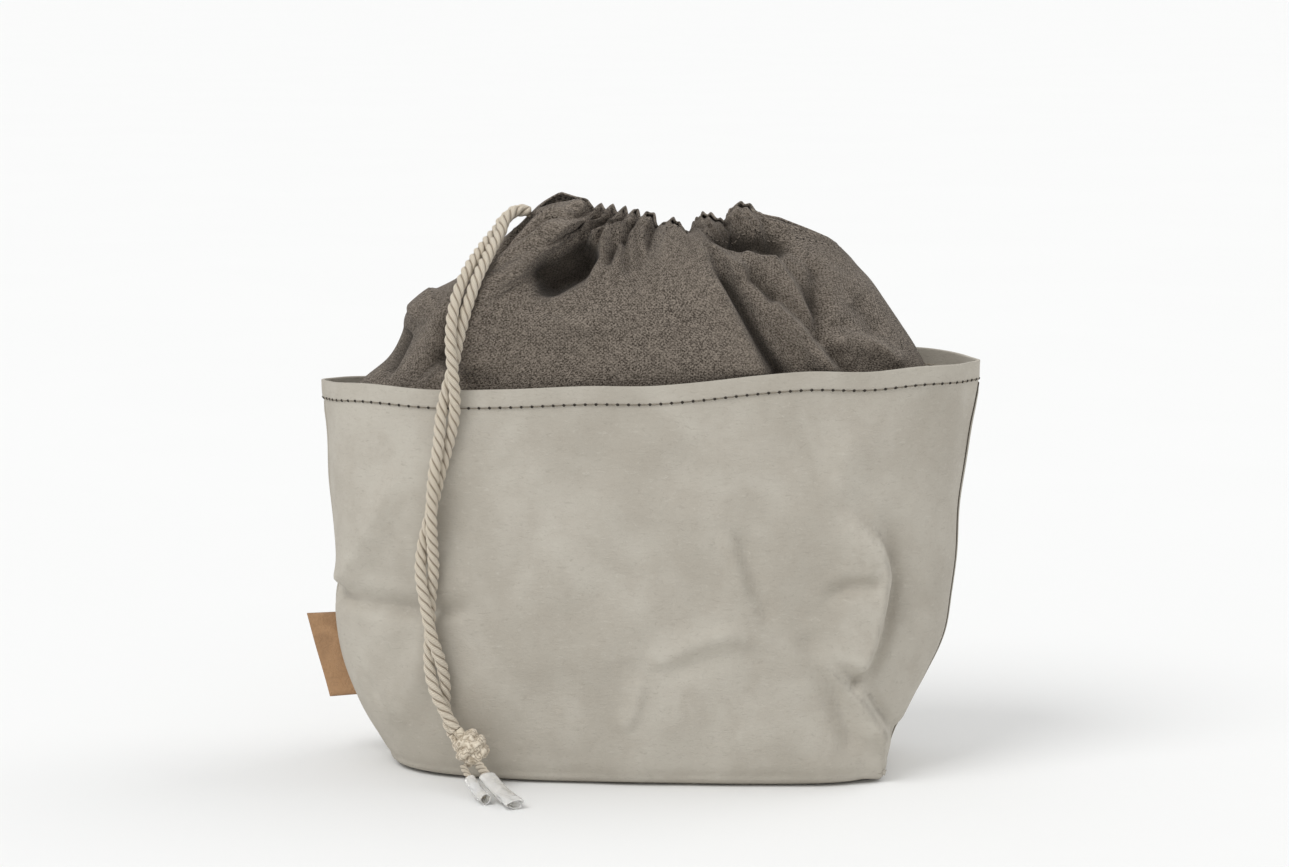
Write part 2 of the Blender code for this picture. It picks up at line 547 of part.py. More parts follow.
def tube_mesh(bm, points, radius):
    """Add a plain closed tube along a list of points."""
    line = np.array(points, float)
    way = np.gradient(line, axis=0)
    side = Vector((0.0, 0.0, 1.0))
    rings = []
    for point, direction in zip(line, way):
        direction = Vector(direction).normalized()
        side = (side - direction * side.dot(direction)).normalized()
        up = direction.cross(side)
        ring = []
        for i in range(8):
            angle = 2 * math.pi * i / 8
            place = Vector(point) + (side * math.cos(angle) + up * math.sin(angle)) * radius
            ring.append(bm.verts.new(place * MM))
        rings.append(ring)
    for low, high in zip(rings, rings[1:]):
        for i in range(8):
            bm.faces.new((low[i], low[(i + 1) % 8], high[(i + 1) % 8], high[i]))
    bm.faces.new(list(reversed(rings[0])))
    bm.faces.new(rings[-1])


def end_line(start, end, count):
    """Centre line of a rope end, sagging slightly towards the surface it lies on."""
    t = np.linspace(0.0, 1.0, count)[:, None]
    line = (1 - t) * np.array(start) + t * np.array(end)
    line[:, 2] -= 1.6 * np.sin(math.pi * t[:, 0])
    return line


def make_knot():
    """Overhand knot of both ropes: wraps and a core, fused into one lumpy body."""
    centre = np.array(KNOT_CENTRE)
    bm = bmesh.new()
    turns = np.linspace(0.0, 2 * math.pi, 17)
    for lean, shift, size in ((35.0, 3.0, 4.9), (35.0, -2.6, 5.1), (-40.0, 0.5, 4.2)):
        tilt = math.radians(lean)
        axis = np.array([-math.sin(tilt), 0.1, math.cos(tilt)])
        flat = np.array([math.cos(tilt), 0.0, math.sin(tilt)])
        ring = [
            centre + axis * shift + size * (flat * math.cos(a) + np.array([0, 1, 0]) * math.sin(a))
            for a in turns
        ]
        tube_mesh(bm, ring, 2.5)
    for line in rope_pair(ROPE_STEP):
        entry = split_at_knot(line, KNOT_REACH - TOUCH_GAP)[1]
        tube_mesh(bm, [*entry[:2], centre, centre + (0.4, -3.4, -5.0)], 2.6)
    mesh = bpy.data.meshes.new("knot")
    bm.to_mesh(mesh)
    bm.free()
    thing = new_object("knot", mesh, "rope_cotton")
    fused = thing.modifiers.new("fuse", "REMESH")
    fused.mode = "VOXEL"
    fused.voxel_size = 0.9 * MM
    fused.use_smooth_shade = True
    fewer = thing.modifiers.new("fewer", "DECIMATE")
    fewer.ratio = 0.16
    return thing


def oval_rings(line, wide, high, count):
    """Flattened rings along a rope end, wide across and high upwards."""
    way = np.gradient(line, axis=0)
    rings = []
    for point, direction in zip(line, way):
        direction = direction / np.linalg.norm(direction)
        across = np.cross(direction, (0.0, 0.0, 1.0))
        across /= np.linalg.norm(across)
        up = np.cross(across, direction)
        angles = [2 * math.pi * i / count for i in range(count)]
        rings.append(
            [point + across * wide * math.cos(a) + up * high * math.sin(a) for a in angles]
        )
    return np.array(rings)


def make_end(name, start, end, wide, high, cover, sleeve_wide, sleeve_high):
    """One rope end and the clear sleeve around it."""
    line = end_line(start, end, 9)
    count = 10
    inside = oval_rings(line[:8], wide, high, count)
    mesh = bpy.data.meshes.new("end_" + name)
    faces = [tuple(range(count)), tuple(reversed(range(7 * count, 8 * count)))]
    for row in range(7):
        for i in range(count):
            a, b = row * count + i, row * count + (i + 1) % count
            faces.append((b, a, a + count, b + count))
    mesh.from_pydata((inside.reshape(-1, 3) * MM).tolist(), [], faces)
    new_object("end_" + name, mesh, "rope_cotton")

    first = int(round(cover * 8))
    covered = line[first:]
    outer = oval_rings(covered, sleeve_wide, sleeve_high, count)
    bore = oval_rings(covered, sleeve_wide - SLEEVE_WALL, sleeve_high - SLEEVE_WALL, count)
    rows = len(covered)
    points = np.concatenate([outer.reshape(-1, 3), bore.reshape(-1, 3)])
    faces = []
    skin = rows * count
    for row in range(rows - 1):
        for i in range(count):
            a, b = row * count + i, row * count + (i + 1) % count
            faces.append((b, a, a + count, b + count))
            faces.append((skin + a, skin + b, skin + b + count, skin + a + count))
    for i in range(count):
        after = (i + 1) % count
        last = (rows - 1) * count
        faces.append((i, after, skin + after, skin + i))
        faces.append((last + after, last + i, skin + last + i, skin + last + after))
    mesh = bpy.data.meshes.new("sleeve_" + name)
    mesh.from_pydata((points * MM).tolist(), [], faces)
    new_object("sleeve_" + name, mesh, "clear_sleeve")


def make_tag():
    """Folded strip sewn into the left seam, its inner edge following the shell's side."""
    heights = np.linspace(29.5, 69.5, 7)
    side = shell_grid(heights, SHELL_COLUMNS)[:, 0]
    points = []
    for place, share in zip(side, np.linspace(0.0, 1.0, len(heights))):
        lean = -1.5 + 3.0 * share
        for out in (TOUCH_GAP * 1.4, TAG_WIDTH):
            for front in (-1, 1):
                y = place[1] + front * TAG_THICK / 2 + lean * out / TAG_WIDTH
                points.append((place[0] - out, y, place[2] - 0.08 * out))
    faces = [(0, 1, 3, 2), (24, 26, 27, 25)]
    for row in range(len(heights) - 1):
        a = row * 4
        for i, after in ((0, 2), (2, 3), (3, 1), (1, 0)):
            faces.append((a + i, a + after, a + 4 + after, a + 4 + i))
    mesh = bpy.data.meshes.new("tag")
    mesh.from_pydata((np.array(points) * MM).tolist(), [], faces)
    bm = bmesh.new()
    bm.from_mesh(mesh)
    bmesh.ops.recalc_face_normals(bm, faces=bm.faces)
    bm.to_mesh(mesh)
    bm.free()
    new_object("tag", mesh, "tag_leather")


def main():
    for thing in list(bpy.data.objects):
        bpy.data.objects.remove(thing)
    make_shell()
    make_liner()
    make_ropes()
    make_knot()
    for end in ROPE_ENDS:
        make_end(**dict(zip(END_COLUMNS, end)))
    make_tag()


main()
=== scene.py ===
"""Bread bag: paper-cloth shell, gathered cotton inner bag, rope drawstring, sleeves and tag.

Tables and folds are in millimetres, with +Z up, the front facing -Y and the origin in the middle
of the flat base. Meshes are turned into metres as they are made.
"""

import math

import bmesh
import bpy
import numpy as np
from bpy.props import FloatProperty, FloatVectorProperty, PointerProperty
from mathutils import Matrix, Vector


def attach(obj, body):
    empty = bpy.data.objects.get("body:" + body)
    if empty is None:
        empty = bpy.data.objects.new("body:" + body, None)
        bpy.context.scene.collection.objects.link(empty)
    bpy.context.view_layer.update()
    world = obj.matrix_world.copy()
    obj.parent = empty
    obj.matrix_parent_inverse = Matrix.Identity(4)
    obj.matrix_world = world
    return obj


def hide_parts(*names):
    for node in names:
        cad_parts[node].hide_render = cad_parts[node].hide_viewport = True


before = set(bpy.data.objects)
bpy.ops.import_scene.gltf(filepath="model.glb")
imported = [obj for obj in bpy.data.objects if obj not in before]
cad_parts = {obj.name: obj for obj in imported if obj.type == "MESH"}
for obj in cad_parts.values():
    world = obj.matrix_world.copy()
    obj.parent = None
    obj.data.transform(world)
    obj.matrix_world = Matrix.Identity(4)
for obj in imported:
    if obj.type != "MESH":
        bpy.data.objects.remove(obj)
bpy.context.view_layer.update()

bl_info = {
    "name": "Bread Bag",
    "version": (1, 0, 0),
    "blender": (4, 5, 0),
    "location": "View3D > Sidebar > Bread Bag",
    "description": "Builds a paper-cloth bread bag with a gathered inner bag and a rope drawstring",
    "category": "Add Mesh",
}

MM = 0.001
BODY = "root"

# Picture, camera, floor and lights
PICTURE_WIDTH = 1289
CAMERA_TURN = 4.0
CAMERA_PITCH = 7.88
CAMERA_DISTANCE = 1.6
CAMERA_HEIGHT = 0.375
CAMERA_AIM_X = 0.0022
FOCAL_PIXELS = 3499.0
SENSOR_WIDTH = 36.0
FLOOR_REACH = 30.0
KEY_SPREAD, KEY_FROM = 32.0, (-0.55, -0.65, 1.0)
SIDE_SPREAD, SIDE_FROM = 40.0, (0.75, 0.4, 1.0)

# Sheets and gaps
SHELL_THICK = 1.6
LINER_THICK = 1.1
TOUCH_GAP = 0.3
BASE_INNER = 0.55
OUTLINE_STEPS = 1600

# Shell
RIM_HEIGHT = 186.0
HEM_DEPTH = 8.0
HEM_STEP = 0.5
SEAM_PINCH = 4.0
PINCH_START = 90.0
PINCH_SHARE = 0.025
FACING_DEPTH = 16.0
SHELL_COLUMNS = 190
SHELL_ROWS = (0.0, 1.5, 6.0, 15.0, 27.0, 40.0, 54.0, 68.0, 82.0, 96.0, 112.0, 130.0, 148.0, 164.0)
SHELL_WALL_RINGS = 90
SHELL_HEM_RINGS = 30

# Inner bag
LINER_COLUMNS = 190
LINER_LOW_ROWS = 6
LINER_HIGH_RINGS = 110
LINER_FLOOR = SHELL_THICK + TOUCH_GAP
LINER_LIFT_HEIGHT = 150.0
LINER_FACING_DEPTH = 9.0
LINER_ROUND = 0.86
LINER_SHOWS_FROM = 176.0
PLEATS = 12.0
PLEAT_HEIGHT = 2.3
PLEAT_REACH = 13.0
RUFFLES = 27.0
RUFFLE_HEIGHT = 0.7
CHANNEL_PUFF = 0.6

# Seams and stitches
CHANNEL_ROW = 14.4
CHANNEL_PITCH = 3.0
FINE_COLUMNS = 4
SEAM_BOTTOM, SEAM_HEM, SEAM_TOP = 8.0, 160.0, 176.0
SEAM_SIDES = 10
SEAM_HALF_WIDTH = 1.3
SEAM_RISE = 0.75
SEAM_FADE_ROWS = 4.0
SEAM_DRIFT = -3.5
# A dark line of painted shade beside the right seam: how far from it, its size and its tone.
SEAM_SHADE_AWAY = 1.5
SEAM_SHADE_SIZE = (0.42, 0.30)
SEAM_SHADE_TONE = 0.42
STITCH_SIDES = 8
STITCH_FLATNESS = 0.6
# Each kind of stitch: its share of the pitch, the thread's radius and how far it rises.
HEM_STITCH = (1.0, 0.62, 0.18)
BOBBIN_STITCH = (0.9, 0.55, 0.3)
CHANNEL_STITCH = (0.95, 0.42, 0.25)

# Rope, knot and sleeves
ROPE_DIAMETER = 5.5
ROPE_LAY = 15.0
ROPE_STEP = 0.9
ROPE_SIDES = 36
STRAND_RADIUS = 0.55
STRAND_OUT = 0.45
END_LAY = 9.0
END_STEPS = 60
END_SAG = 1.6
END_IN_SLEEVE = 0.875
KNOT_CENTRE = (-71.5, -65.0, 19.0)
KNOT_REACH = 10.5
KNOT_VOXEL = 0.30
KNOT_CORE = 5.2
KNOT_STRAND = 2.6
KNOT_LAY = ROPE_LAY * 1.3
KNOT_SIDES = 30
KNOT_GROOVE = 0.6
KNOT_STEPS = 72
KNOT_ENTRY_POINTS = 6
# Each wrap of the knot: lean in degrees, shift along its axis and size.
KNOT_WRAPS = ((38.0, 4.3, 4.4), (38.0, 0.0, 5.6), (38.0, -4.3, 4.4), (-48.0, 2.2, 5.2))
SLEEVE_WALL = 0.5
SLEEVE_SIDES = 32

# Tag
TAG_THICK = 1.4
TAG_WIDTH = 15.0
TAG_BOTTOM, TAG_TOP = 29.5, 70.5
TAG_ROWS = 60
TAG_SIDES = 40


def table(names, rows):
    """The named columns of a table, each as an array."""
    return dict(zip(names.split(), np.array(rows, float).T))


# Outline of the shell at each height: distance from the middle to each side, and how round the
# left and right corners are, from 1 for an ellipse to 0 for a square corner.
SHELL_SECTIONS = table("height left right front back round_left round_right", (
    (0, 108, 110, 48, 48, 0.7, 0.46),
    (1.5, 113, 113.5, 52, 51.5, 0.7, 0.46),
    (6, 117, 115.5, 55, 54.5, 0.71, 0.47),
    (15, 122.5, 117.5, 57.5, 57, 0.73, 0.52),
    (30, 131, 125, 59.5, 59, 0.76, 0.62),
    (42, 136.3, 132, 60.5, 60, 0.78, 0.69),
    (63, 140.6, 140.4, 61.5, 60, 0.8, 0.74),
    (82, 140.4, 143.4, 61.5, 60, 0.8, 0.76),
    (88, 139.2, 144.1, 61.4, 60, 0.8, 0.76),
    (105, 141.4, 146, 61, 60, 0.8, 0.77),
    (133, 142.2, 147.8, 59.5, 58.5, 0.8, 0.78),
    (157, 142.6, 149.6, 57, 56.5, 0.8, 0.78),
    (186, 143.4, 151.6, 54.5, 55, 0.8, 0.78),
))

# Height of the rim along the front and the back, from the left corner to the right one.
RIM_LINE = table("along front back", (
    (-147, 177.5, 177.5),
    (-128, 179.8, 175.5),
    (-90, 179, 179),
    (-55, 180.2, 182),
    (-18, 182.2, 184),
    (8, 182.4, 185),
    (31, 184.4, 186),
    (57, 187.4, 187),
    (78, 189, 188),
    (106, 188.4, 189.5),
    (130, 190, 190.5),
    (155, 189, 189),
))

# Rows of the inner bag from its floor to its mouth: where the row meets the left and right seams,
# its depth to the front and back, and how far it is drawn in towards the gathered mouth.
LINER_ROWS = table("left left_height right right_height front back gather", (
    (94, 0, 92, 0, 37, 37, 0),
    (103, 3, 99, 3, 43, 43, 0),
    (114, 18, 106, 18, 47, 46, 0),
    (127, 48, 121, 48, 50, 49, 0),
    (130, 90, 131, 90, 51, 50, 0),
    (132, 130, 136, 133, 49.5, 49, 0),
    (134, 160, 137, 166, 48, 47.5, 0),
    (131, 175, 132.5, 182, 48.5, 47.5, 0),
    (117, 188, 126, 195, 49, 48, 0.02),
    (110.5, 199.5, 119, 206, 47.5, 46.5, 0.06),
    (107.5, 209.5, 111, 217, 45, 44, 0.13),
    (98.5, 217.5, 105, 225.5, 41.5, 40.5, 0.24),
    (83.5, 225.5, 100, 231.5, 36.5, 35.5, 0.38),
    (72, 235.5, 96.5, 236, 30, 29.5, 0.54),
    (61.5, 244.5, 93.5, 239, 22.5, 23, 0.72),
    (54, 251, 91, 241, 16, 17.5, 0.88),
    (49.5, 254.6, 89.8, 242.2, 14, 15.5, 0.97),
    (46.5, 257, 88.5, 243.2, 11.5, 13, 1),
))
LINER_LAST_ROW = len(LINER_ROWS["gather"]) - 1

# The gathered mouth from its left ear to its right ear: the share of the cloth used up, the height
# of the top edge in front and behind, half the width of the mouth there, and how deep its pleats
# are.
MOUTH_LINE = table("along cloth front back front_depth back_depth pleat", (
    (-46.5, 0, 257, 257, 0, 0, 0),
    (-43.5, 0.012, 258, 260, 2.4, 2.4, 0),
    (-36.5, 0.035, 260.5, 264.5, 6, 4, 0.1),
    (-25, 0.075, 261, 260.5, 12.5, 7, 0.4),
    (-20, 0.12, 256.5, 257, 11, 9, 1),
    (-10, 0.26, 255.5, 256, 11, 11, 1),
    (2, 0.43, 254.5, 254.5, 12, 12.5, 1),
    (18, 0.58, 249.5, 249.5, 12, 13, 1.3),
    (30, 0.69, 252.5, 252.5, 10.5, 13, 1.4),
    (43, 0.8, 256.5, 257, 10, 11, 1.4),
    (54, 0.88, 257.5, 257, 8, 7, 1),
    (66, 0.92, 251.5, 252, 4.6, 4.6, 0.1),
    (78, 0.962, 247.5, 247.5, 3.2, 3.2, 0),
    (86, 0.99, 244.5, 244.5, 2.4, 2.4, 0),
    (88.5, 1, 243.2, 243.2, 0, 0, 0),
))

# Folds seen from the front, as ridges (+) or valleys (-): height, reach to the left and to the
# right hand of the route, how sharp the crest is, how much of each end fades out, and the route.
# The finer creases, which show at the scale of the cloth's surface, come last in each table.
SHELL_FRONT_FOLDS = (
    (
        8, 4.5, 26, 0.35, 0.35, 0.1,
        ((93, 134), (102, 119), (110, 110), (113, 97), (111, 84), (107, 66), (100, 49)),
    ),
    (-4, 16, 5, 0.3, 0.3, 0.3, ((108, 132), (116, 116), (121, 98), (119, 80), (113, 60))),
    (-4.5, 7, 7, 0.3, 0.5, 0.08, ((84, 86), (97, 92), (111, 93))),
    (5, 5, 10, 0.5, 0.35, 0.15, ((76, 68), (97, 47), (104, 38), (108, 28), (111, 18))),
    (-3.5, 8, 8, 0.3, 0.3, 0.15, ((73, 78), (83, 59), (92, 43), (98, 23), (101, 12))),
    (-4, 4, 4, 0.5, 0.3, 0.3, ((106, 55), (101, 49), (97, 45))),
    (5, 6, 8, 0.6, 0.3, 0.02, ((107, 34), (110, 20), (110, 2))),
    (2.2, 14, 5, 0.5, 0.25, 0.3, ((2, 60), (8, 55), (28, 66), (45, 71), (62, 65))),
    (-1.6, 5, 12, 0.3, 0.3, 0.3, ((12, 50), (30, 59), (48, 64), (64, 58))),
    (1.8, 5, 10, 0.5, 0.2, 0.3, ((6, 52), (2, 34), (-6, 24))),
    (-2.6, 9, 5, 0.4, 0.25, 0.25, ((45, 121), (51, 108), (58, 87), (64, 70))),
    (2, 4, 9, 0.5, 0.3, 0.3, ((41, 120), (47, 107), (53, 86))),
    (2, 14, 12, 0.3, 0.4, 0.4, ((99, 166), (94, 145), (91, 122))),
    (-5, 10, 7, 0.5, 0.02, 0.45, ((-141, 80), (-118, 79), (-90, 78), (-62, 82))),
    (4, 12, 12, 0.7, 0.04, 0.3, ((-138, 84), (-127, 100), (-114, 124), (-104, 146))),
    (2, 14, 14, 0.2, 0.25, 0.25, ((-92, 64), (-104, 40), (-108, 20))),
    (-1.6, 18, 18, 0.1, 0.25, 0.25, ((-30, 150), (0, 140), (36, 146))),
    (1.8, 22, 20, 0.1, 0.25, 0.25, ((-60, 50), (-20, 62), (18, 84))),
    (0.7, 5, 4, 0.8, 0.3, 0.3, ((-14, 57), (2, 62), (22, 60))),
    (-0.8, 4, 4, 0.8, 0.3, 0.3, ((26, 72), (44, 78), (60, 74))),
    (0.8, 4, 5, 0.8, 0.3, 0.3, ((70, 70), (84, 76), (97, 72))),
    (-0.7, 4, 4, 0.8, 0.3, 0.3, ((36, 120), (42, 104), (40, 92))),
    (-1, 3, 3, 0.8, 0.3, 0.3, ((3, 58), (9, 54), (16, 57))),
    (0.8, 3, 3, 0.8, 0.3, 0.3, ((94, 84), (104, 78), (109, 70))),
    (-0.8, 3, 3, 0.8, 0.3, 0.3, ((98, 104), (106, 101), (112, 101))),
    (0.7, 3, 3, 0.8, 0.3, 0.3, ((100, 12), (103, 6), (106, 2))),
    (0.6, 4, 4, 0.8, 0.3, 0.3, ((-122, 62), (-104, 70), (-90, 68))),
    (
        1.5, 3, 7, 0.7, 0.25, 0.12,
        ((95, 116), (106, 111), (113, 101), (114, 90), (112, 72), (106, 56), (100, 46)),
    ),
    (
        -2.4, 5, 3, 0.5, 0.25, 0.12,
        ((101, 120), (111, 115), (118, 103), (119, 90), (116, 72), (110, 56), (104, 46)),
    ),
    (1.5, 3, 6, 0.7, 0.12, 0.12, ((100, 46), (107, 33), (114, 23), (115, 10))),
    (-2.2, 4.5, 3, 0.5, 0.15, 0.2, ((105, 45), (111, 34), (118, 24), (119, 12))),
    (-0.9, 4, 4, 0.6, 0.3, 0.3, ((-132, 52), (-116, 36), (-108, 20))),
    (0.8, 4, 5, 0.8, 0.3, 0.3, ((20, 128), (46, 122), (66, 108))),
)
SHELL_BACK_FOLDS = (
    (-4, 8, 9, 0.6, 0.1, 0.3, ((134, 84), (104, 78), (66, 82))),
    (3, 12, 10, 0.4, 0.25, 0.15, ((100, 132), (114, 106), (128, 88))),
    (-3, 8, 10, 0.6, 0.2, 0.3, ((-126, 70), (-96, 64), (-62, 72))),
    (2.4, 14, 12, 0.3, 0.25, 0.25, ((-96, 140), (-88, 112), (-94, 84))),
    (-2.2, 8, 8, 0.7, 0.25, 0.3, ((-20, 60), (6, 64), (30, 58))),
    (2, 22, 20, 0.1, 0.25, 0.25, ((-34, 120), (0, 108), (40, 118))),
    (0.7, 5, 4, 0.8, 0.3, 0.3, ((-40, 50), (-16, 56), (10, 52))),
    (-0.8, 4, 4, 0.8, 0.3, 0.3, ((60, 60), (84, 70), (104, 66))),
)
LINER_FRONT_FOLDS = (
    (
        8.5, 20, 6, 0.4, 0.05, 0.1,
        ((-24, 262), (-50, 243), (-63, 227), (-70, 214), (-75, 198), (-77, 182)),
    ),
    (-9, 8, 10, 0.3, 0.2, 0.1, ((-44, 256), (-59, 241), (-74, 222), (-82, 204), (-86, 184))),
    (-16, 10, 13, 0.2, 0.35, 0.1, ((-50, 226), (-38, 231), (-27, 237), (-19, 245))),
    (3, 6, 12, 0.3, 0.3, 0.3, ((-52, 213), (-36, 208), (-20, 210), (-4, 217))),
    (5.5, 6, 4.5, 0.4, 0.1, 0.3, ((-9, 254), (-15, 241), (-21, 222))),
    (-3.6, 3, 3, 0.4, 0.1, 0.3, ((-10, 250), (-12, 232))),
    (-4, 4, 3.5, 0.4, 0.1, 0.35, ((-5, 248), (-3, 228))),
    (
        8, 5, 26, 0.5, 0.2, 0.05,
        ((2, 253), (14, 248), (25, 242), (36, 230), (45, 215), (54, 199), (63, 184)),
    ),
    (-9, 6, 6, 0.3, 0.2, 0.05, ((32, 238), (43, 225), (52, 209), (61, 193), (68, 182))),
    (6, 5, 7, 0.5, 0.2, 0.05, ((14, 251), (27, 245), (48, 230), (63, 215), (79, 199), (92, 184))),
    (8, 5, 11, 0.4, 0.15, 0.2, ((43, 233), (50, 237), (61, 234), (70, 223), (78, 210), (80, 200))),
    (-6.5, 6.5, 6.5, 0.2, 0.2, 0.2, ((49, 231), (56, 225), (64, 216))),
    (-10, 7, 5.5, 0.3, 0.15, 0.2, ((30, 245), (43, 245), (56, 245), (70, 239))),
    (-3.5, 5, 6, 0.6, 0.2, 0.2, ((80, 236), (81, 220), (82, 204))),
    (3, 9, 8, 0.4, 0.2, 0.2, ((91, 234), (87, 220), (91, 206))),
    (-3, 9, 8, 0.2, 0.2, 0.2, ((98, 220), (111, 202))),
    (4, 7, 6, 0.4, 0.2, 0.15, ((80, 200), (97, 200), (110, 196), (122, 187))),
    (-3.5, 4, 5, 0.5, 0.1, 0.1, ((-107, 203), (-116, 178))),
    (-3.5, 5, 5, 0.5, 0.1, 0.1, ((-88, 196), (-103, 176))),
    (3, 8, 8, 0.3, 0.2, 0.2, ((-106, 208), (-92, 221))),
    (-2.2, 2.2, 2.2, 0.5, 0.05, 0.4, ((-14, 252), (-18, 238), (-22, 228))),
    (1.6, 2, 2, 0.5, 0.05, 0.4, ((-11, 253), (-14, 240), (-16, 230))),
    (1.8, 2.2, 2.2, 0.5, 0.05, 0.4, ((-7, 252), (-8, 238), (-9, 226))),
    (-2, 2.2, 2.2, 0.5, 0.05, 0.4, ((-1, 252), (1, 240), (4, 230))),
    (1.5, 2.2, 2.2, 0.5, 0.05, 0.4, ((1, 252), (4, 242), (9, 232))),
    (-1.4, 3, 3, 0.6, 0.05, 0.4, ((4, 252), (8, 238), (14, 224))),
    (1.2, 3, 3, 0.6, 0.05, 0.4, ((20, 246), (26, 234), (36, 220))),
    (1.2, 3, 3, 0.7, 0.2, 0.3, ((-44, 212), (-20, 206), (6, 208))),
    (-1, 3, 3, 0.7, 0.2, 0.3, ((-60, 206), (-44, 198), (-26, 196))),
    (1.4, 3, 4, 0.7, 0.2, 0.3, ((88, 206), (104, 201), (117, 191))),
    (2.2, 3, 7, 0.7, 0.15, 0.05, ((50, 230), (64, 215), (80, 199), (93, 183))),
    (-3.4, 5.5, 3, 0.5, 0.15, 0.05, ((57, 229), (70, 215), (86, 199), (98, 184))),
    (-2.4, 6, 3.5, 0.4, 0.2, 0.2, ((47, 238), (56, 241), (66, 237), (75, 227), (82, 212))),
    (-2, 4, 4, 0.5, 0.2, 0.2, ((-70, 236), (-80, 216), (-86, 196))),
    (-2.6, 9, 6, 0.3, 0.2, 0.1, ((-96, 214), (-106, 200), (-118, 184))),
)
LINER_BACK_FOLDS = (
    (5.5, 16, 6, 0.5, 0.1, 0.05, ((42, 258), (58, 240), (72, 220), (82, 200), (86, 182))),
    (-7, 8, 8, 0.3, 0.2, 0.05, ((58, 248), (76, 226), (88, 206), (96, 184))),
    (-8, 12, 12, 0.2, 0.2, 0.2, ((22, 240), (34, 228), (48, 222))),
    (5, 16, 5, 0.5, 0.1, 0.05, ((-8, 254), (-20, 238), (-34, 216), (-44, 184))),
    (-6, 6, 6, 0.3, 0.2, 0.05, ((-24, 244), (-38, 224), (-52, 204), (-60, 184))),
    (5, 6, 8, 0.5, 0.15, 0.05, ((-34, 250), (-54, 228), (-70, 206), (-80, 184))),
    (3.5, 9, 9, 0.4, 0.2, 0.2, ((0, 232), (4, 206), (-2, 186))),
    (-4, 6, 6, 0.5, 0.2, 0.1, ((-92, 214), (-104, 186))),
    (-1.2, 3, 3, 0.6, 0.1, 0.4, ((10, 252), (14, 236), (12, 222))),
    (1.4, 3, 3, 0.6, 0.1, 0.4, ((-4, 252), (-6, 236), (-12, 222))),
)

# The pair of rope tails from the left ear of the mouth to the knot: the middle of the pair, how
# far the pair has turned about itself in degrees, and half the distance between the two ropes.
ROPE_ROUTE = table("x y z turn spread", (
    (-51, -0.8, 256.3, 90, 2.95),
    (-56, -2.7, 256.3, 90, 2.95),
    (-60.6, -7.8, 253.4, 84, 2.95),
    (-63.8, -16.5, 247.4, 64, 2.95),
    (-68.2, -29, 239.4, 42, 2.95),
    (-72.6, -41.2, 230.2, 16, 2.95),
    (-76.2, -48.4, 219, -14, 2.95),
    (-79, -53.2, 203, -58, 2.95),
    (-79.8, -54.7, 190, -94, 2.95),
    (-81.2, -55.2, 176, -150, 2.95),
    (-83.6, -56.4, 158, -222, 2.95),
    (-87, -58.4, 141, -249, 2.95),
    (-89.3, -58.6, 126, -276, 2.95),
    (-91.6, -57, 106, -338, 2.95),
    (-91.6, -58.2, 87, -424, 2.95),
    (-89.8, -59.2, 67, -473, 2.95),
    (-86.9, -59.4, 49, -560, 2.95),
    (-83.4, -61, 34, -640, 2.95),
    (-79, -64, 26, -668, 2.95),
    (-74.5, -65, 21, -680, 2.95),
))

# The two rope ends below the knot, each in a clear sleeve: name, start and end of the end piece,
# its half width and half height, the sleeve's start along it, the sleeve's half width and half
# height, and how crumpled it is.
ROPE_ENDS = (
    ("left", (-74.5, -70.4, 11.7), (-61.5, -95, 2.8), 1.6, 1.6, 0.32, 2.6, 2.6, 0.05),
    ("right", (-68.1, -69.8, 13.3), (-47.5, -102, 2.4), 2.2, 1.2, 0.26, 4.2, 2.2, 0.13),
)


def curve_through(knots, values, at):
    """Smooth curve through a table's values, without overshoot at its ends."""
    slopes = np.gradient(values, knots)
    place = np.clip(np.searchsorted(knots, at) - 1, 0, len(knots) - 2)
    width = knots[place + 1] - knots[place]
    t = np.clip((at - knots[place]) / width, 0.0, 1.0)
    start = values[place] * (1 + 2 * t) + slopes[place] * width * t
    end = values[place + 1] * (3 - 2 * t) - slopes[place + 1] * width * (1 - t)
    return start * (1 - t) ** 2 + end * t**2


def smooth(t):
    """Ease from 0 to 1."""
    t = np.clip(t, 0.0, 1.0)
    return t * t * (3 - 2 * t)


def unit(vectors):
    """Vectors brought to length one."""
    return vectors / np.maximum(np.linalg.norm(vectors, axis=-1, keepdims=True), 1e-9)


def lengths_along(points):
    """How far along a line each of its points is."""
    return np.concatenate([[0.0], np.cumsum(np.linalg.norm(np.diff(points, axis=0), axis=1))])


def round_outline(left, right, depth, round_left, round_right, count):
    """Half an outline from the left seam to the right one, in equal steps along its length."""
    angle = np.linspace(0.0, math.pi, OUTLINE_STEPS + 1)
    power = np.where(angle < math.pi / 2, round_left, round_right)
    reach = np.where(angle < math.pi / 2, left, right)
    across = -np.sign(np.cos(angle)) * reach * np.abs(np.cos(angle)) ** power
    deep = depth * np.abs(np.sin(angle)) ** power
    length = lengths_along(np.stack([across, deep], axis=1))
    steps = np.linspace(0.0, length[-1], count + 1)
    return np.interp(steps, length, across), np.interp(steps, length, deep)


def closed_ring(front, back):
    """Front half from left to right, then back half from right to left, without doubled ends."""
    return np.concatenate([front[:-1], back[:0:-1]])


def outward(grid):
    """Outward direction of each point of a grid of rings."""
    around = np.roll(grid, -1, axis=1) - np.roll(grid, 1, axis=1)
    return unit(np.cross(around, np.gradient(grid, axis=0)))


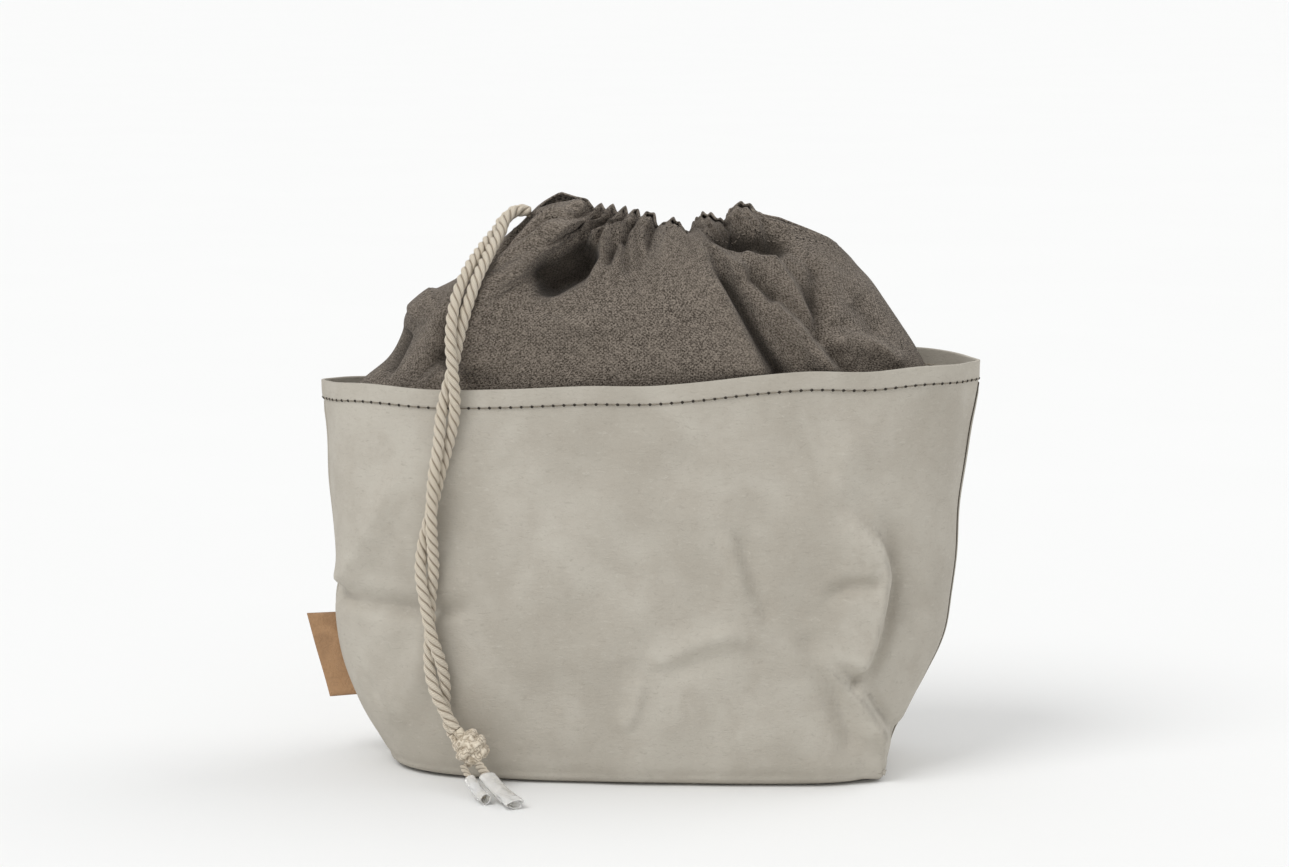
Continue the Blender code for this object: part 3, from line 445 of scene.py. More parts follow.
def fold_relief(folds, x, z):
    """Height of all folds at points of a panel seen face on."""
    relief = np.zeros_like(x)
    for height, reach_left, reach_right, sharp, fade_in, fade_out, route in folds:
        nearest = np.full(x.shape, np.inf)
        signed = np.zeros_like(x)
        along = np.zeros_like(x)
        route = np.array(route, float)
        starts = lengths_along(route)
        for i, length in enumerate(np.diff(starts)):
            way = (route[i + 1] - route[i]) / length
            dx, dz = x - route[i, 0], z - route[i, 1]
            t = np.clip(dx * way[0] + dz * way[1], 0.0, length)
            distance = np.hypot(dx - t * way[0], dz - t * way[1])
            closer = distance < nearest
            side = np.where(way[0] * dz - way[1] * dx >= 0, 1.0, -1.0)
            nearest = np.where(closer, distance, nearest)
            signed = np.where(closer, side, signed)
            along = np.where(closer, (starts[i] + t) / starts[-1], along)
        t = np.clip(nearest / np.where(signed > 0, reach_left, reach_right), 0.0, 1.0)
        profile = (1 - t) ** 2 * (1 + 2 * t * (1 - sharp))
        relief += height * profile * smooth(along / fade_in) * smooth((1 - along) / fade_out)
    return relief


def two_sided_relief(front_folds, back_folds, grid):
    """Height of the front folds where a grid faces the front, and of the back folds elsewhere."""
    x, y, z = grid[..., 0], grid[..., 1], grid[..., 2]
    return fold_relief(front_folds, x, z) * (y < 0) + fold_relief(back_folds, x, z) * (y > 0)


def unevenness(x, z, size):
    """Slow, shallow waves that keep a sheet from being perfectly even."""
    slow = np.sin(x * 0.061 + 1.3) * np.sin(z * 0.052 + 0.4)
    quick = np.sin(x * 0.137 - z * 0.093 + 2.1) * 0.5 + np.sin(x * 0.081 + z * 0.149) * 0.35
    return size * (slow + quick)


def shell_grid(heights, columns):
    """The shell's outer face, a closed ring for each height, and how far its points stand out."""
    section = {
        name: curve_through(SHELL_SECTIONS["height"], values, heights)
        for name, values in SHELL_SECTIONS.items()
    }
    part = np.linspace(0.0, 1.0, columns + 1)
    from_left, from_right = part / PINCH_SHARE, (1 - part) / PINCH_SHARE
    near_seam = np.exp(-(from_left**2)) - np.exp(-(from_right**2))
    rings = []
    for row, height in enumerate(heights):
        here = {name: values[row] for name, values in section.items()}
        pinched = smooth((height - PINCH_START) / (RIM_HEIGHT - PINCH_START))
        halves = []
        for side, face in ((-1, "front"), (1, "back")):
            x, deep = round_outline(
                here["left"], here["right"], here[face], here["round_left"], here["round_right"],
                columns,
            )
            x = x - SEAM_PINCH * pinched * near_seam
            rim = curve_through(RIM_LINE["along"], RIM_LINE[face], x)
            lift = (rim - RIM_HEIGHT) * smooth(height / RIM_HEIGHT)
            halves.append(np.stack([x, side * deep, height + lift], axis=1))
        rings.append(closed_ring(*halves))
    grid = np.array(rings)
    x, y, z = grid[..., 0], grid[..., 1], grid[..., 2]
    folds = two_sided_relief(SHELL_FRONT_FOLDS, SHELL_BACK_FOLDS, grid)
    level = heights[:, None]
    calm = smooth(level / 5.0) * smooth((RIM_HEIGHT - level) / 12.0)
    relief = (folds * smooth(np.abs(y) / FACING_DEPTH) + unevenness(x, z, 0.7)) * calm
    step = HEM_STEP * smooth((level - (RIM_HEIGHT - HEM_DEPTH - 1.0)) / 1.0)
    return grid + outward(grid) * (relief + step)[..., None], relief


def liner_grid(rows, columns):
    """The inner bag's outer face, for places along the row table, and how far its points stand out."""
    section = {
        name: curve_through(np.arange(LINER_LAST_ROW + 1.0), values, rows)
        for name, values in LINER_ROWS.items()
    }
    gathers = np.clip(section["gather"], 0.0, 1.0)
    part = np.linspace(0.0, 1.0, columns + 1)
    wide, deep = round_outline(1.0, 1.0, 1.0, LINER_ROUND, LINER_ROUND, columns)
    along, cloth = MOUTH_LINE["along"], MOUTH_LINE["cloth"]
    drawn = np.interp(part, cloth, along)
    drawn = (drawn - drawn[0]) / (drawn[-1] - drawn[0])
    rings = []
    for row, gather in enumerate(gathers):
        here = {name: values[row] for name, values in section.items()}
        share = (1 - gather) * (wide + 1) / 2 + gather * drawn
        x = (here["right"] + here["left"]) * share - here["left"]
        at_mouth = along[0] + share * (along[-1] - along[0])
        level = here["left_height"] + (here["right_height"] - here["left_height"]) * share
        halves = []
        for side, face in ((-1, "front"), (1, "back")):
            top = MOUTH_LINE[face]
            rise = np.interp(at_mouth, along, top) - (top[0] + (top[-1] - top[0]) * share)
            edge = np.interp(at_mouth, along, MOUTH_LINE[face + "_depth"])
            edge = edge * here[face] / LINER_ROWS[face][-1]
            even = np.interp(share, (wide + 1) / 2, deep) * here[face]
            y = (1 - gather) * even + gather * edge
            halves.append(np.stack([x, side * y, level + rise * gather**1.5], axis=1))
        rings.append(closed_ring(*halves))
    grid = np.array(rings)
    x, y, z = grid[..., 0], grid[..., 1], grid[..., 2]
    pleat = np.interp(part, cloth, MOUTH_LINE["pleat"])
    pleat = closed_ring(pleat, pleat)
    gather = section["gather"][:, None]
    above = smooth((z - LINER_SHOWS_FROM) / 14.0)
    below_mouth = 1 - smooth((gather - 0.80) / 0.2) * 0.8
    relief = two_sided_relief(LINER_FRONT_FOLDS, LINER_BACK_FOLDS, grid)
    relief *= above * smooth(np.abs(y) / LINER_FACING_DEPTH) * below_mouth
    cloth = closed_ring(part, part)
    wave = np.abs(np.sin(math.pi * PLEATS * cloth * (1 + 0.12 * np.sin(5 * cloth)) + 1.9))
    drop = (z.max(axis=0) - z) / PLEAT_REACH
    relief += PLEAT_HEIGHT * pleat * (2.6 * wave - 1.6) * np.exp(-(drop**2) / 2.5)
    ruffle = np.sin(2 * math.pi * RUFFLES * cloth + 2.5 * np.sin(9 * cloth))
    relief += RUFFLE_HEIGHT * pleat * ruffle * np.exp(-(drop**2) / 0.35)
    relief += CHANNEL_PUFF * gather**8 * np.sin(math.pi * np.clip(drop * 2.1, 0.0, 1.0))
    relief += unevenness(x + 40.0, z, 0.6) * above
    relief[rows < 2] = 0.0
    return grid + outward(grid) * relief[..., None], relief


def rope_pair():
    """Centre lines of the two tails, read from smooth curves through the route's points."""
    knots = lengths_along(np.stack([ROPE_ROUTE[axis] for axis in "xyz"], axis=1))
    at = np.linspace(0.0, knots[-1], int(round(knots[-1] / ROPE_STEP)) + 1)
    route = {name: curve_through(knots, values, at) for name, values in ROPE_ROUTE.items()}
    middle = np.stack([route[axis] for axis in "xyz"], axis=1)
    way = unit(np.gradient(middle, axis=0))
    beside = unit(np.cross(way, (0.0, 1.0, 0.0)))
    turn = np.radians(route["turn"])[:, None]
    offset = beside * np.cos(turn) + np.cross(way, beside) * np.sin(turn)
    offset *= route["spread"][:, None]
    return middle - offset, middle + offset


def split_at_knot(line, reach):
    """A rope's centre line outside and inside this distance from the knot's middle."""
    distance = np.linalg.norm(line - np.array(KNOT_CENTRE), axis=1)
    last = int(np.flatnonzero(distance > reach)[-1])
    share = (distance[last] - reach) / (distance[last] - distance[last + 1])
    edge = line[last] + (line[last + 1] - line[last]) * share
    outside = line[: last if share < 0.5 else last + 1]
    return np.concatenate([outside, edge[None]]), np.concatenate([edge[None], line[last + 1 :]])


def end_line(start, end):
    """Centre line of a rope end, sagging slightly towards the surface it lies on."""
    t = np.linspace(0.0, 1.0, END_STEPS + 1)[:, None]
    line = (1 - t) * np.array(start) + t * np.array(end)
    line[:, 2] -= END_SAG * np.sin(math.pi * t[:, 0])
    return line


def rings_round(line, beside, up, wide, high, sides):
    """Oval rings round a line, whose half width and half height may change along it."""
    angle = (2 * math.pi * np.arange(sides) / sides)[:, None]
    wide, high = (np.broadcast_to(size, len(line))[:, None, None] for size in (wide, high))
    beside, up = (np.broadcast_to(way, line.shape)[:, None] for way in (beside, up))
    return line[:, None] + beside * wide * np.cos(angle) + up * high * np.sin(angle)


def oval_rings(line, wide, high, sides):
    """Flattened rings along a line, wide across and high upwards."""
    way = unit(np.gradient(line, axis=0))
    across = unit(np.cross(way, (0.0, 0.0, 1.0)))
    return rings_round(line, across, np.cross(across, way), wide, high, sides)


class NodeBench:
    """Adds nodes to one tree, with their sockets fed by values or by other sockets."""

    def __init__(self, tree):
        self.tree = tree

    def feed(self, socket, value):
        if isinstance(value, bpy.types.NodeSocket):
            self.tree.links.new(value, socket)
        else:
            socket.default_value = value

    def add(self, kind, feeds=(), **settings):
        node = self.tree.nodes.new(kind)
        for name, value in settings.items():
            setattr(node, name, value)
        for socket, value in dict(feeds).items():
            self.feed(node.inputs[socket], value)
        return node

    def math(self, operation, first, second=0.0):
        return self.add("ShaderNodeMath", {0: first, 1: second}, operation=operation).outputs[0]

    def times(self, first, second):
        return self.math("MULTIPLY", first, second)

    def plus(self, first, second):
        return self.math("ADD", first, second)

    def noise(self, vector, scale, detail=2.0, roughness=0.5, distortion=0.0):
        feeds = {
            "Vector": vector, "Scale": scale, "Detail": detail,
            "Roughness": roughness, "Distortion": distortion,
        }
        return self.add("ShaderNodeTexNoise", feeds).outputs[0]

    def stretch(self, vector, scale):
        return self.add("ShaderNodeMapping", {"Vector": vector, "Scale": scale}).outputs[0]

    def spread(self, value, low, high, to_low=0.0, to_high=1.0):
        feeds = {0: value, 1: low, 2: high, 3: to_low, 4: to_high}
        return self.add("ShaderNodeMapRange", feeds, interpolation_type="SMOOTHSTEP").outputs[0]

    def colours(self, factor, first, second):
        feeds = {0: factor, 6: first, 7: second}
        return self.add("ShaderNodeMix", feeds, data_type="RGBA").outputs[2]

    def tint(self, colour, mask, share, other):
        return self.colours(self.times(mask, share), colour, other)

    def effect(self, name, vector, **feeds):
        feeds["Vector"] = vector
        return self.add("ShaderNodeGroup", feeds, node_tree=effect_tree(name)).outputs


def mottling(bench, place, scale):
    """Cloudy patches, brushed streaks and small specks, for washed paper, cloth and leather."""
    cloud = bench.noise(place, scale, 3.0, 0.55, 0.7)
    brushed = bench.stretch(place, (0.6, 0.6, 0.45))
    streak = bench.noise(brushed, bench.times(scale, 5.0), 3.0, 0.6, 0.3)
    speck = bench.noise(place, bench.times(scale, 24.0), 2.0, 0.6)
    spread = bench.spread
    return spread(cloud, 0.36, 0.66), spread(streak, 0.35, 0.65), spread(speck, 0.62, 0.74)


def fibre_grain(bench, place, grain, crumple):
    """Fine fibre grain and soft crumples, as heights."""
    fold = bench.noise(place, crumple, 2.0, 0.45, 0.8)
    ridge = bench.math("ABSOLUTE", bench.math("SUBTRACT", fold, 0.5))
    return bench.noise(place, grain, 3.0, 0.6), bench.spread(ridge, 0.0, 0.16)


def plain_weave(bench, place, pitch, slub):
    """Plain weave of uneven threads, laid out in millimetres along and across the cloth."""
    parts = bench.add("ShaderNodeSeparateXYZ", {0: place}).outputs
    turn = bench.math("DIVIDE", math.pi, pitch)
    across = bench.math("SINE", bench.times(parts[0], turn))
    upward = bench.math("SINE", bench.times(parts[1], turn))
    over = bench.spread(bench.times(across, upward), -0.5, 0.5)
    warp = bench.times(bench.math("ABSOLUTE", across), over)
    weft = bench.times(bench.math("ABSOLUTE", upward), bench.math("SUBTRACT", 1.0, over))
    long_slub = bench.noise(bench.stretch(place, (0.22, 1.7, 1.0)), 1.0, 2.0)
    tall_slub = bench.noise(bench.stretch(place, (1.7, 0.22, 1.0)), 1.0, 2.0)
    slubs = bench.plus(long_slub, tall_slub)
    uneven = bench.times(bench.math("SUBTRACT", slubs, 1.0), slub)
    thread = bench.plus(slubs, bench.times(over, 0.25))
    return bench.plus(bench.plus(warp, weft), uneven), bench.spread(thread, 0.92, 1.30)


def twisted_yarn(bench, place, yarns, pitch):
    """Yarns twisted into a strand: fine slanting lines, with loose fibres between them."""
    parts = bench.add("ShaderNodeSeparateXYZ", {0: place}).outputs
    slant = bench.plus(bench.math("DIVIDE", parts[0], pitch), bench.times(parts[1], yarns))
    phase = bench.plus(slant, bench.noise(place, 1.1, 2.0))
    line = bench.math("SINE", bench.times(phase, 2 * math.pi))
    fibre = bench.noise(bench.stretch(place, (0.8, 60.0, 1.0)), 2.0, 3.0, 0.6)
    height = bench.plus(bench.spread(line, -1.0, 0.8), bench.times(fibre, 0.6))
    return height, bench.spread(height, 0.2, 1.3)


def crease_tone(bench, place, relief, reach):
    """Light worn crests, and a valley mask for painted shade, from how far a point stands out in
    millimetres.
    """
    broken = bench.noise(place, 220.0, 2.0, 0.6)
    share = bench.math("DIVIDE", relief, reach)
    crest = bench.times(bench.spread(share, 0.1, 1.4), bench.spread(broken, 0.3, 0.7))
    # The valley mask is for painted shade in creases and folds.
    return crest, bench.spread(bench.times(share, -1.0), 0.1, 1.6)


# Each shared effect: its maker, its inputs with their defaults, and its outputs.
EFFECTS = {
    "Mottling": (mottling, {"Scale": 18.0}, ("Cloud", "Streak", "Speck")),
    "Fibre Grain": (fibre_grain, {"Grain": 900.0, "Crumple": 60.0}, ("Height", "Fold")),
    "Plain Weave": (plain_weave, {"Pitch": 0.8, "Slub": 0.5}, ("Height", "Thread")),
    "Twisted Yarn": (twisted_yarn, {"Yarns": 5.0, "Pitch": 3.4}, ("Height", "Shade")),
    "Crease Tone": (crease_tone, {"Relief": 0.0, "Reach": 4.0}, ("Crest", "Valley")),
}


def effect_tree(name):
    """A shared effect as a node group with named sockets, made when it is first asked for."""
    if name in bpy.data.node_groups:
        return bpy.data.node_groups[name]
    maker, inputs, outputs = EFFECTS[name]
    tree = bpy.data.node_groups.new(name, "ShaderNodeTree")
    tree.interface.new_socket(name="Vector", in_out="INPUT", socket_type="NodeSocketVector")
    for label, default in inputs.items():
        socket = tree.interface.new_socket(
            name=label, in_out="INPUT", socket_type="NodeSocketFloat"
        )
        socket.default_value = default
    for label in outputs:
        tree.interface.new_socket(name=label, in_out="OUTPUT", socket_type="NodeSocketFloat")
    bench = NodeBench(tree)
    given = bench.add("NodeGroupInput").outputs
    results = maker(bench, given["Vector"], *(given[label] for label in inputs))
    bench.add("NodeGroupOutput", dict(zip(outputs, results)))
    return tree


class Finish(NodeBench):
    """A material of the bag: one Principled shader and the nodes that feed it."""

    def __init__(self, name, roughness, **sockets):
        self.material = bpy.data.materials.new("bag_" + name)
        self.material.use_nodes = True
        super().__init__(self.material.node_tree)
        self.shader = self.tree.nodes["Principled BSDF"].inputs
        for label, value in {"Roughness": roughness, **sockets}.items():
            self.shader[label.replace("_", " ")].default_value = value
        self.place = self.add("ShaderNodeTexCoord").outputs["Object"]

    def cloth_place(self):
        return self.add("ShaderNodeUVMap", uv_map="cloth_mm").outputs[0]

    def relief(self):
        return self.add("ShaderNodeAttribute", attribute_name="relief").outputs["Fac"]

    def mottling(self, scale):
        return self.effect("Mottling", self.place, Scale=scale)

    def grain(self, grain, crumple):
        return self.effect("Fibre Grain", self.place, Grain=grain, Crumple=crumple)

    def creases(self, reach):
        return self.effect("Crease Tone", self.place, Relief=self.relief(), Reach=reach)

    def cover(self, colour, height, depth, roughness=None):
        """Joins colour, relief of this depth in metres and roughness to the shader."""
        bump = self.add("ShaderNodeBump", {"Height": height, "Distance": depth, "Strength": 1.0})
        self.feed(self.shader["Base Color"], colour)
        self.feed(self.shader["Normal"], bump.outputs[0])
        if roughness is not None:
            self.feed(self.shader["Roughness"], roughness)
        return self.material


ROPE_SHEEN = {"Sheen_Weight": 0.2, "Sheen_Roughness": 0.6, "Specular_IOR_Level": 0.15}


def paper_finish(settings):
    """Washed paper cloth: cloudy, faintly streaked, scratched, worn light on its creases, with painted
    shade in their valleys.
    """
    cloth = Finish("paper_cloth", 0.72, Specular_IOR_Level=0.35)
    clouds, patches = cloth.mottling(16.0), cloth.mottling(38.0)
    tone, grain = cloth.creases(4.0), cloth.grain(1100.0, 70.0)
    scratch = cloth.noise(cloth.stretch(cloth.place, (1.0, 1.0, 2.6)), 240.0, 4.0, 0.75, 1.2)
    worn, dark = settings.paper_worn, settings.paper_dark_and_shade
    colour = cloth.colours(clouds["Cloud"], settings.paper_colour, settings.paper_light)
    colour = cloth.tint(colour, patches["Streak"], 0.28, settings.paper_warm)
    colour = cloth.tint(colour, cloth.times(patches["Cloud"], clouds["Cloud"]), 0.55, worn)
    # Painted shade in the valleys of the creases.
    colour = cloth.tint(colour, tone["Valley"], 0.40, dark)
    colour = cloth.tint(colour, tone["Crest"], 0.35, worn)
    colour = cloth.tint(colour, clouds["Speck"], 0.16, dark)
    colour = cloth.colours(cloth.spread(scratch, 0.56, 0.70, 0.0, 0.5), colour, worn)
    colour = cloth.colours(cloth.spread(scratch, 0.44, 0.30, 0.0, 0.4), colour, dark)
    height = cloth.plus(cloth.times(grain["Height"], 0.5), cloth.times(grain["Fold"], 0.3))
    roughness = cloth.spread(clouds["Cloud"], 0.0, 1.0, 0.66, 0.80)
    return cloth.cover(colour, cloth.plus(height, scratch), 0.00024, roughness)


def liner_finish(settings):
    """Cotton with a linen look: uneven threads, faded where it stands out, with painted shade deep in
    its folds.
    """
    cloth = Finish(
        "liner_cotton", 0.95, Sheen_Weight=0.08, Sheen_Roughness=0.5, Specular_IOR_Level=0.15
    )
    pitch = settings.weave_pitch / MM
    weave = cloth.effect("Plain Weave", cloth.cloth_place(), Pitch=pitch, Slub=0.5)
    patches, tone, grain = cloth.mottling(30.0), cloth.creases(4.0), cloth.grain(1400.0, 90.0)
    thread = cloth.spread(weave["Thread"], 0.0, 1.0, 0.30, 0.60)
    yarn = cloth.plus(thread, cloth.spread(grain["Height"], 0.36, 0.64, -0.24, 0.26))
    colour = cloth.colours(cloth.spread(yarn, 0.0, 1.0), settings.liner_dark, settings.liner_light)
    colour = cloth.tint(colour, patches["Cloud"], 0.20, settings.liner_colour)
    colour = cloth.tint(colour, tone["Crest"], 0.16, settings.liner_light)
    # Painted shade deep in the folds.
    colour = cloth.tint(colour, tone["Valley"], 0.78, settings.liner_shade)
    height = cloth.plus(cloth.times(weave["Height"], 0.6), grain["Height"])
    return cloth.cover(colour, height, 0.0004)


def rope_finish(settings):
    """Natural cotton rope: fine yarns, warm, with painted shade between its yarns and its strands."""
    rope = Finish("rope_cotton", 0.95, **ROPE_SHEEN)
    yarn = rope.effect("Twisted Yarn", rope.cloth_place(), Yarns=15.0, Pitch=3.4)
    colour = rope.colours(yarn["Shade"], settings.rope_shade, settings.rope_colour)
    colour = rope.tint(colour, rope.mottling(60.0)["Cloud"], 0.25, settings.rope_warm)
    # Painted shade between the strands, where the relief sinks.
    deep = rope.colours(0.75, colour, settings.rope_gap_shade)
    colour = rope.colours(rope.spread(rope.relief(), 0.63, 0.86), deep, colour)
    return rope.cover(colour, yarn["Height"], 0.00022)


def knot_finish(settings):
    """The rope's cotton on the knot, where the yarns run every way, with painted shade in dark gaps
    between them.
    """
    knot = Finish("knot_cotton", 0.95, **ROPE_SHEEN)
    grain = knot.grain(900.0, 330.0)
    colour = knot.colours(grain["Fold"], settings.rope_shade, settings.rope_colour)
    colour = knot.tint(colour, knot.mottling(60.0)["Cloud"], 0.5, settings.rope_warm)
    # Painted shade in the gaps between the yarns, along thin noise lines.
    gap_shade = knot.spread(grain["Fold"], 0.0, 0.25, 0.5, 0.0)
    height = knot.plus(grain["Fold"], knot.times(grain["Height"], 0.5))
    return knot.cover(knot.colours(gap_shade, colour, settings.rope_gap_shade), height, 0.0003)


def film_finish(settings):
    """Clear shrunk film, slightly crinkled."""
    film = Finish("clear_film", 0.10, IOR=1.2, Transmission_Weight=0.50, Specular_IOR_Level=0.9)
    colour = film.colours(film.mottling(80.0)["Cloud"], settings.film_colour, settings.film_light)
    return film.cover(colour, film.grain(500.0, 160.0)["Fold"], 0.00018)


def tag_finish(settings):
    """Smooth tan strip with a fine grain, darker at its rubbed edges."""
    strip = Finish("tag_leather", 0.55, Specular_IOR_Level=0.4)
    patches, tone, grain = strip.mottling(60.0), strip.creases(1.0), strip.grain(1600.0, 420.0)
    colour = strip.colours(patches["Cloud"], settings.tag_colour, settings.tag_light)
    colour = strip.tint(colour, tone["Crest"], 0.6, settings.tag_dark)
    colour = strip.tint(colour, patches["Speck"], 0.3, settings.tag_dark)
    height = strip.plus(strip.times(grain["Height"], 0.6), grain["Fold"])
    roughness = strip.spread(patches["Streak"], 0.0, 1.0, 0.48, 0.66)
    return strip.cover(colour, height, 0.00010, roughness)


def thread_finish(name, light, dark):
    """Sewing thread with a faint twist, and painted shade where it sinks into its holes."""
    thread = Finish(name, 0.8, Specular_IOR_Level=0.3)
    fold = thread.grain(2500.0, 1200.0)["Fold"]
    # Painted shade where the thread sinks into its holes, set by the relief tone.
    colour = thread.colours(thread.spread(thread.relief(), 0.2, 0.8), dark, light)
    return thread.cover(thread.tint(colour, fold, 0.3, dark), fold, 0.00008)


FINISH_MAKERS = {
    "paper_cloth": paper_finish,
    "liner_cotton": liner_finish,
    "rope_cotton": rope_finish,
    "knot_cotton": knot_finish,
    "clear_film": film_finish,
    "tag_leather": tag_finish,
}
# Each thread finish: its colour, and the darker colour painted as shade at its holes.
THREAD_COLOURS = {
    "hem_thread_and_shade": ("thread_colour", "thread_shade"),
    "bobbin_thread": ("bobbin_colour", "thread_colour"),
    "channel_thread": ("liner_light", "liner_shade"),
}


def finish_named(name, settings):
    """A finish of this bag, made when it is first asked for."""
    made = bpy.data.materials.get("bag_" + name)
    if made:
        return made
    if name in THREAD_COLOURS:
        return thread_finish(name, *(getattr(settings, colour) for colour in THREAD_COLOURS[name]))
    return FINISH_MAKERS[name](settings)


def mesh_from(name, points, faces, uv=None, relief=None):
    """Smooth mesh from points in millimetres, with each corner's place on the cloth."""
    mesh = bpy.data.meshes.new(name)
    mesh.from_pydata((np.asarray(points, float).reshape(-1, 3) * MM).tolist(), [], faces)
    mesh.shade_smooth()
    if uv is not None:
        layer = mesh.uv_layers.new(name="cloth_mm")
        layer.data.foreach_set("uv", np.asarray(uv, np.float32).ravel())
    if relief is not None:
        values = mesh.attributes.new("relief", "FLOAT", "POINT")
        values.data.foreach_set("value", np.asarray(relief, np.float32).ravel())
    return mesh


def add_object(name, data):
    item = bpy.data.objects.new(name, data)
    bpy.context.scene.collection.objects.link(item)
    return item


def place_piece(mesh, finish, slot, *nodes):
    """Links a mesh as a piece that rides on the bag's body and stands for its nodes."""
    piece = add_object(mesh.name, mesh)
    mesh.materials.append(finish_named(finish, bpy.context.scene.bread_bag))
    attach(piece, BODY)
    if nodes:
        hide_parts(*nodes)
    return piece


def ring_faces(rings, sides, caps=True):
    """Quads between closed rings, with flat caps at both ends if asked for."""
    faces = []
    for start in range(0, (rings - 1) * sides, sides):
        for i in range(sides):
            after = (i + 1) % sides
            faces.append((start + i, start + after, start + sides + after, start + sides + i))
    if caps:
        last = (rings - 1) * sides
        faces.append(tuple(reversed(range(sides))))
        faces.append(tuple(range(last, last + sides)))
    return faces


def corner_places(faces, along, around, sides):
    """Place of each face's corners for points laid out in rings, without a jump at the join."""
    places = []
    for face in faces:
        columns = [corner % sides for corner in face]
        wraps = len(face) == 4 and max(columns) - min(columns) > 1
        for corner, column in zip(face, columns):
            turn = sides if wraps and column == 0 else column
            places.append((along[corner // sides], around[turn]))
    return places


def bag_sheet(name, grid, relief, floor, thick, finish, node):
    """A bag-shaped sheet from its flat base to its open top, given its thickness."""
    rows, around = grid.shape[:2]
    centre = np.array([grid[0, :, 0].mean(), grid[0, :, 1].mean(), floor])
    inner = centre + (grid[0] - centre) * BASE_INNER
    points = np.concatenate([grid.reshape(-1, 3), centre[None], inner])
    faces = ring_faces(rows, around, caps=False)
    across = lengths_along(np.concatenate([grid[rows // 2], grid[rows // 2, :1]]))
    upward = lengths_along(grid[:, around // 4])
    places = [(x, z) for z, x in corner_places(faces, upward, across, around)]
    middle, first = rows * around, rows * around + 1
    for i in range(around):
        after = (i + 1) % around
        for face in ((first + i, first + after, after, i), (middle, first + after, first + i)):
            faces.append(face)
            places.extend((points[corner][0], points[corner][1]) for corner in face)
    tone = np.concatenate([relief.ravel(), np.zeros(around + 1)])
    piece = place_piece(mesh_from(name, points, faces, places, tone), finish, finish, node)
    wall = piece.modifiers.new("thickness", "SOLIDIFY")
    wall.thickness = thick * MM
    wall.offset = -1.0
    return piece


def make_shell():
    """The outer bag, with its folded hem as part of the sheet and its rings closest in the hem."""
    places = np.linspace(0.0, len(SHELL_ROWS) - 1.0, SHELL_WALL_RINGS)
    wall = np.interp(places, np.arange(len(SHELL_ROWS)), SHELL_ROWS)
    hem = np.linspace(SHELL_ROWS[-1] + 2.0, RIM_HEIGHT, SHELL_HEM_RINGS)
    grid, relief = shell_grid(np.concatenate([wall, hem]), SHELL_COLUMNS)
    shell = bag_sheet("shell_cloth", grid, relief, 0.0, SHELL_THICK, "paper_cloth", "shell")


def make_liner():
    """The inner bag, with its drawstring channel drawn in at the mouth."""
    low = np.arange(LINER_LOW_ROWS, dtype=float)
    high = np.linspace(LINER_LOW_ROWS, LINER_LAST_ROW, LINER_HIGH_RINGS)
    grid, relief = liner_grid(np.concatenate([low, high]), LINER_COLUMNS)
    grid[..., 2] += LINER_FLOOR * (1 - smooth(grid[..., 2] / LINER_LIFT_HEIGHT))
    liner = bag_sheet(
        "liner_cloth", grid, relief, LINER_FLOOR, LINER_THICK, "liner_cotton", "liner"
    )


def even_steps(points, normals, pitch):
    """Places at equal steps along a closed line, with the outward direction at each."""
    closed = np.concatenate([points, points[:1]])
    outer = np.concatenate([normals, normals[:1]])
    length = lengths_along(closed)
    at = np.linspace(0.0, length[-1], int(length[-1] / pitch) + 1)[:-1]
    place = np.stack([np.interp(at, length, closed[:, i]) for i in range(3)], axis=1)
    facing = np.stack([np.interp(at, length, outer[:, i]) for i in range(3)], axis=1)
    return place, unit(facing)


# One stitch from its hole to the next: share of the pitch, and the thread's width, height and
# tone there; a low tone paints shade where the thread sinks into a hole.
STITCH_SHAPE = table("along width lift tone", (
    (0, 0.35, -0.3, 0), (0.06, 0.95, -0.05, 0), (0.14, 1.15, 0, 0), (0.22, 0.95, -0.05, 0),
    (0.28, 0.45, 0.1, 0.45), (0.45, 0.5, 0.8, 1), (0.65, 0.5, 1, 1), (0.85, 0.5, 0.7, 1),
    (0.98, 0.3, -0.3, 0.5),
))


def stitch_line(name, points, normals, pitch, stitch, finish, slot):
    """A row of stitches on a closed line: each rises out of one hole and sinks into the next."""
    share, radius, rise = stitch
    place, facing = even_steps(points, normals, pitch)
    ahead = np.roll(place, -1, axis=0) - place
    along = STITCH_SHAPE["along"][:, None] * share
    lifts = STITCH_SHAPE["lift"][:, None] * rise
    width = STITCH_SHAPE["width"] * radius
    one_stitch = ring_faces(len(along), STITCH_SIDES)
    points, faces = [], []
    for number, (start, step, out) in enumerate(zip(place, ahead, facing)):
        line = start + step * along + out * lifts
        beside = np.cross(unit(step), out)
        high = width * STITCH_FLATNESS
        points.append(rings_round(line, beside, out, width, high, STITCH_SIDES))
        base = number * len(along) * STITCH_SIDES
        faces.extend(tuple(corner + base for corner in face) for face in one_stitch)
    relief = np.tile(np.repeat(STITCH_SHAPE["tone"], STITCH_SIDES), len(place))
    place_piece(mesh_from(name, points, faces, None, relief), finish, slot)


def make_hem_stitches(pitch):
    """Dark stitches under the rim, and the pale bobbin thread that shows on the inside."""
    line = RIM_HEIGHT - HEM_DEPTH
    heights = np.array([line - 0.6, line - 0.2, line + 0.2])
    grid, _ = shell_grid(heights, SHELL_COLUMNS * FINE_COLUMNS)
    outer = outward(grid)[1]
    outside, inside = grid[1] + outer * 0.08, grid[1] - outer * (SHELL_THICK + 0.10)
    stitch_line("hem_stitches", outside, outer, pitch, HEM_STITCH, "hem_thread_and_shade", "paper_cloth")
    stitch_line(
        "hem_stitches_inside", inside, -outer, pitch, BOBBIN_STITCH, "bobbin_thread",
        "paper_cloth",
    )


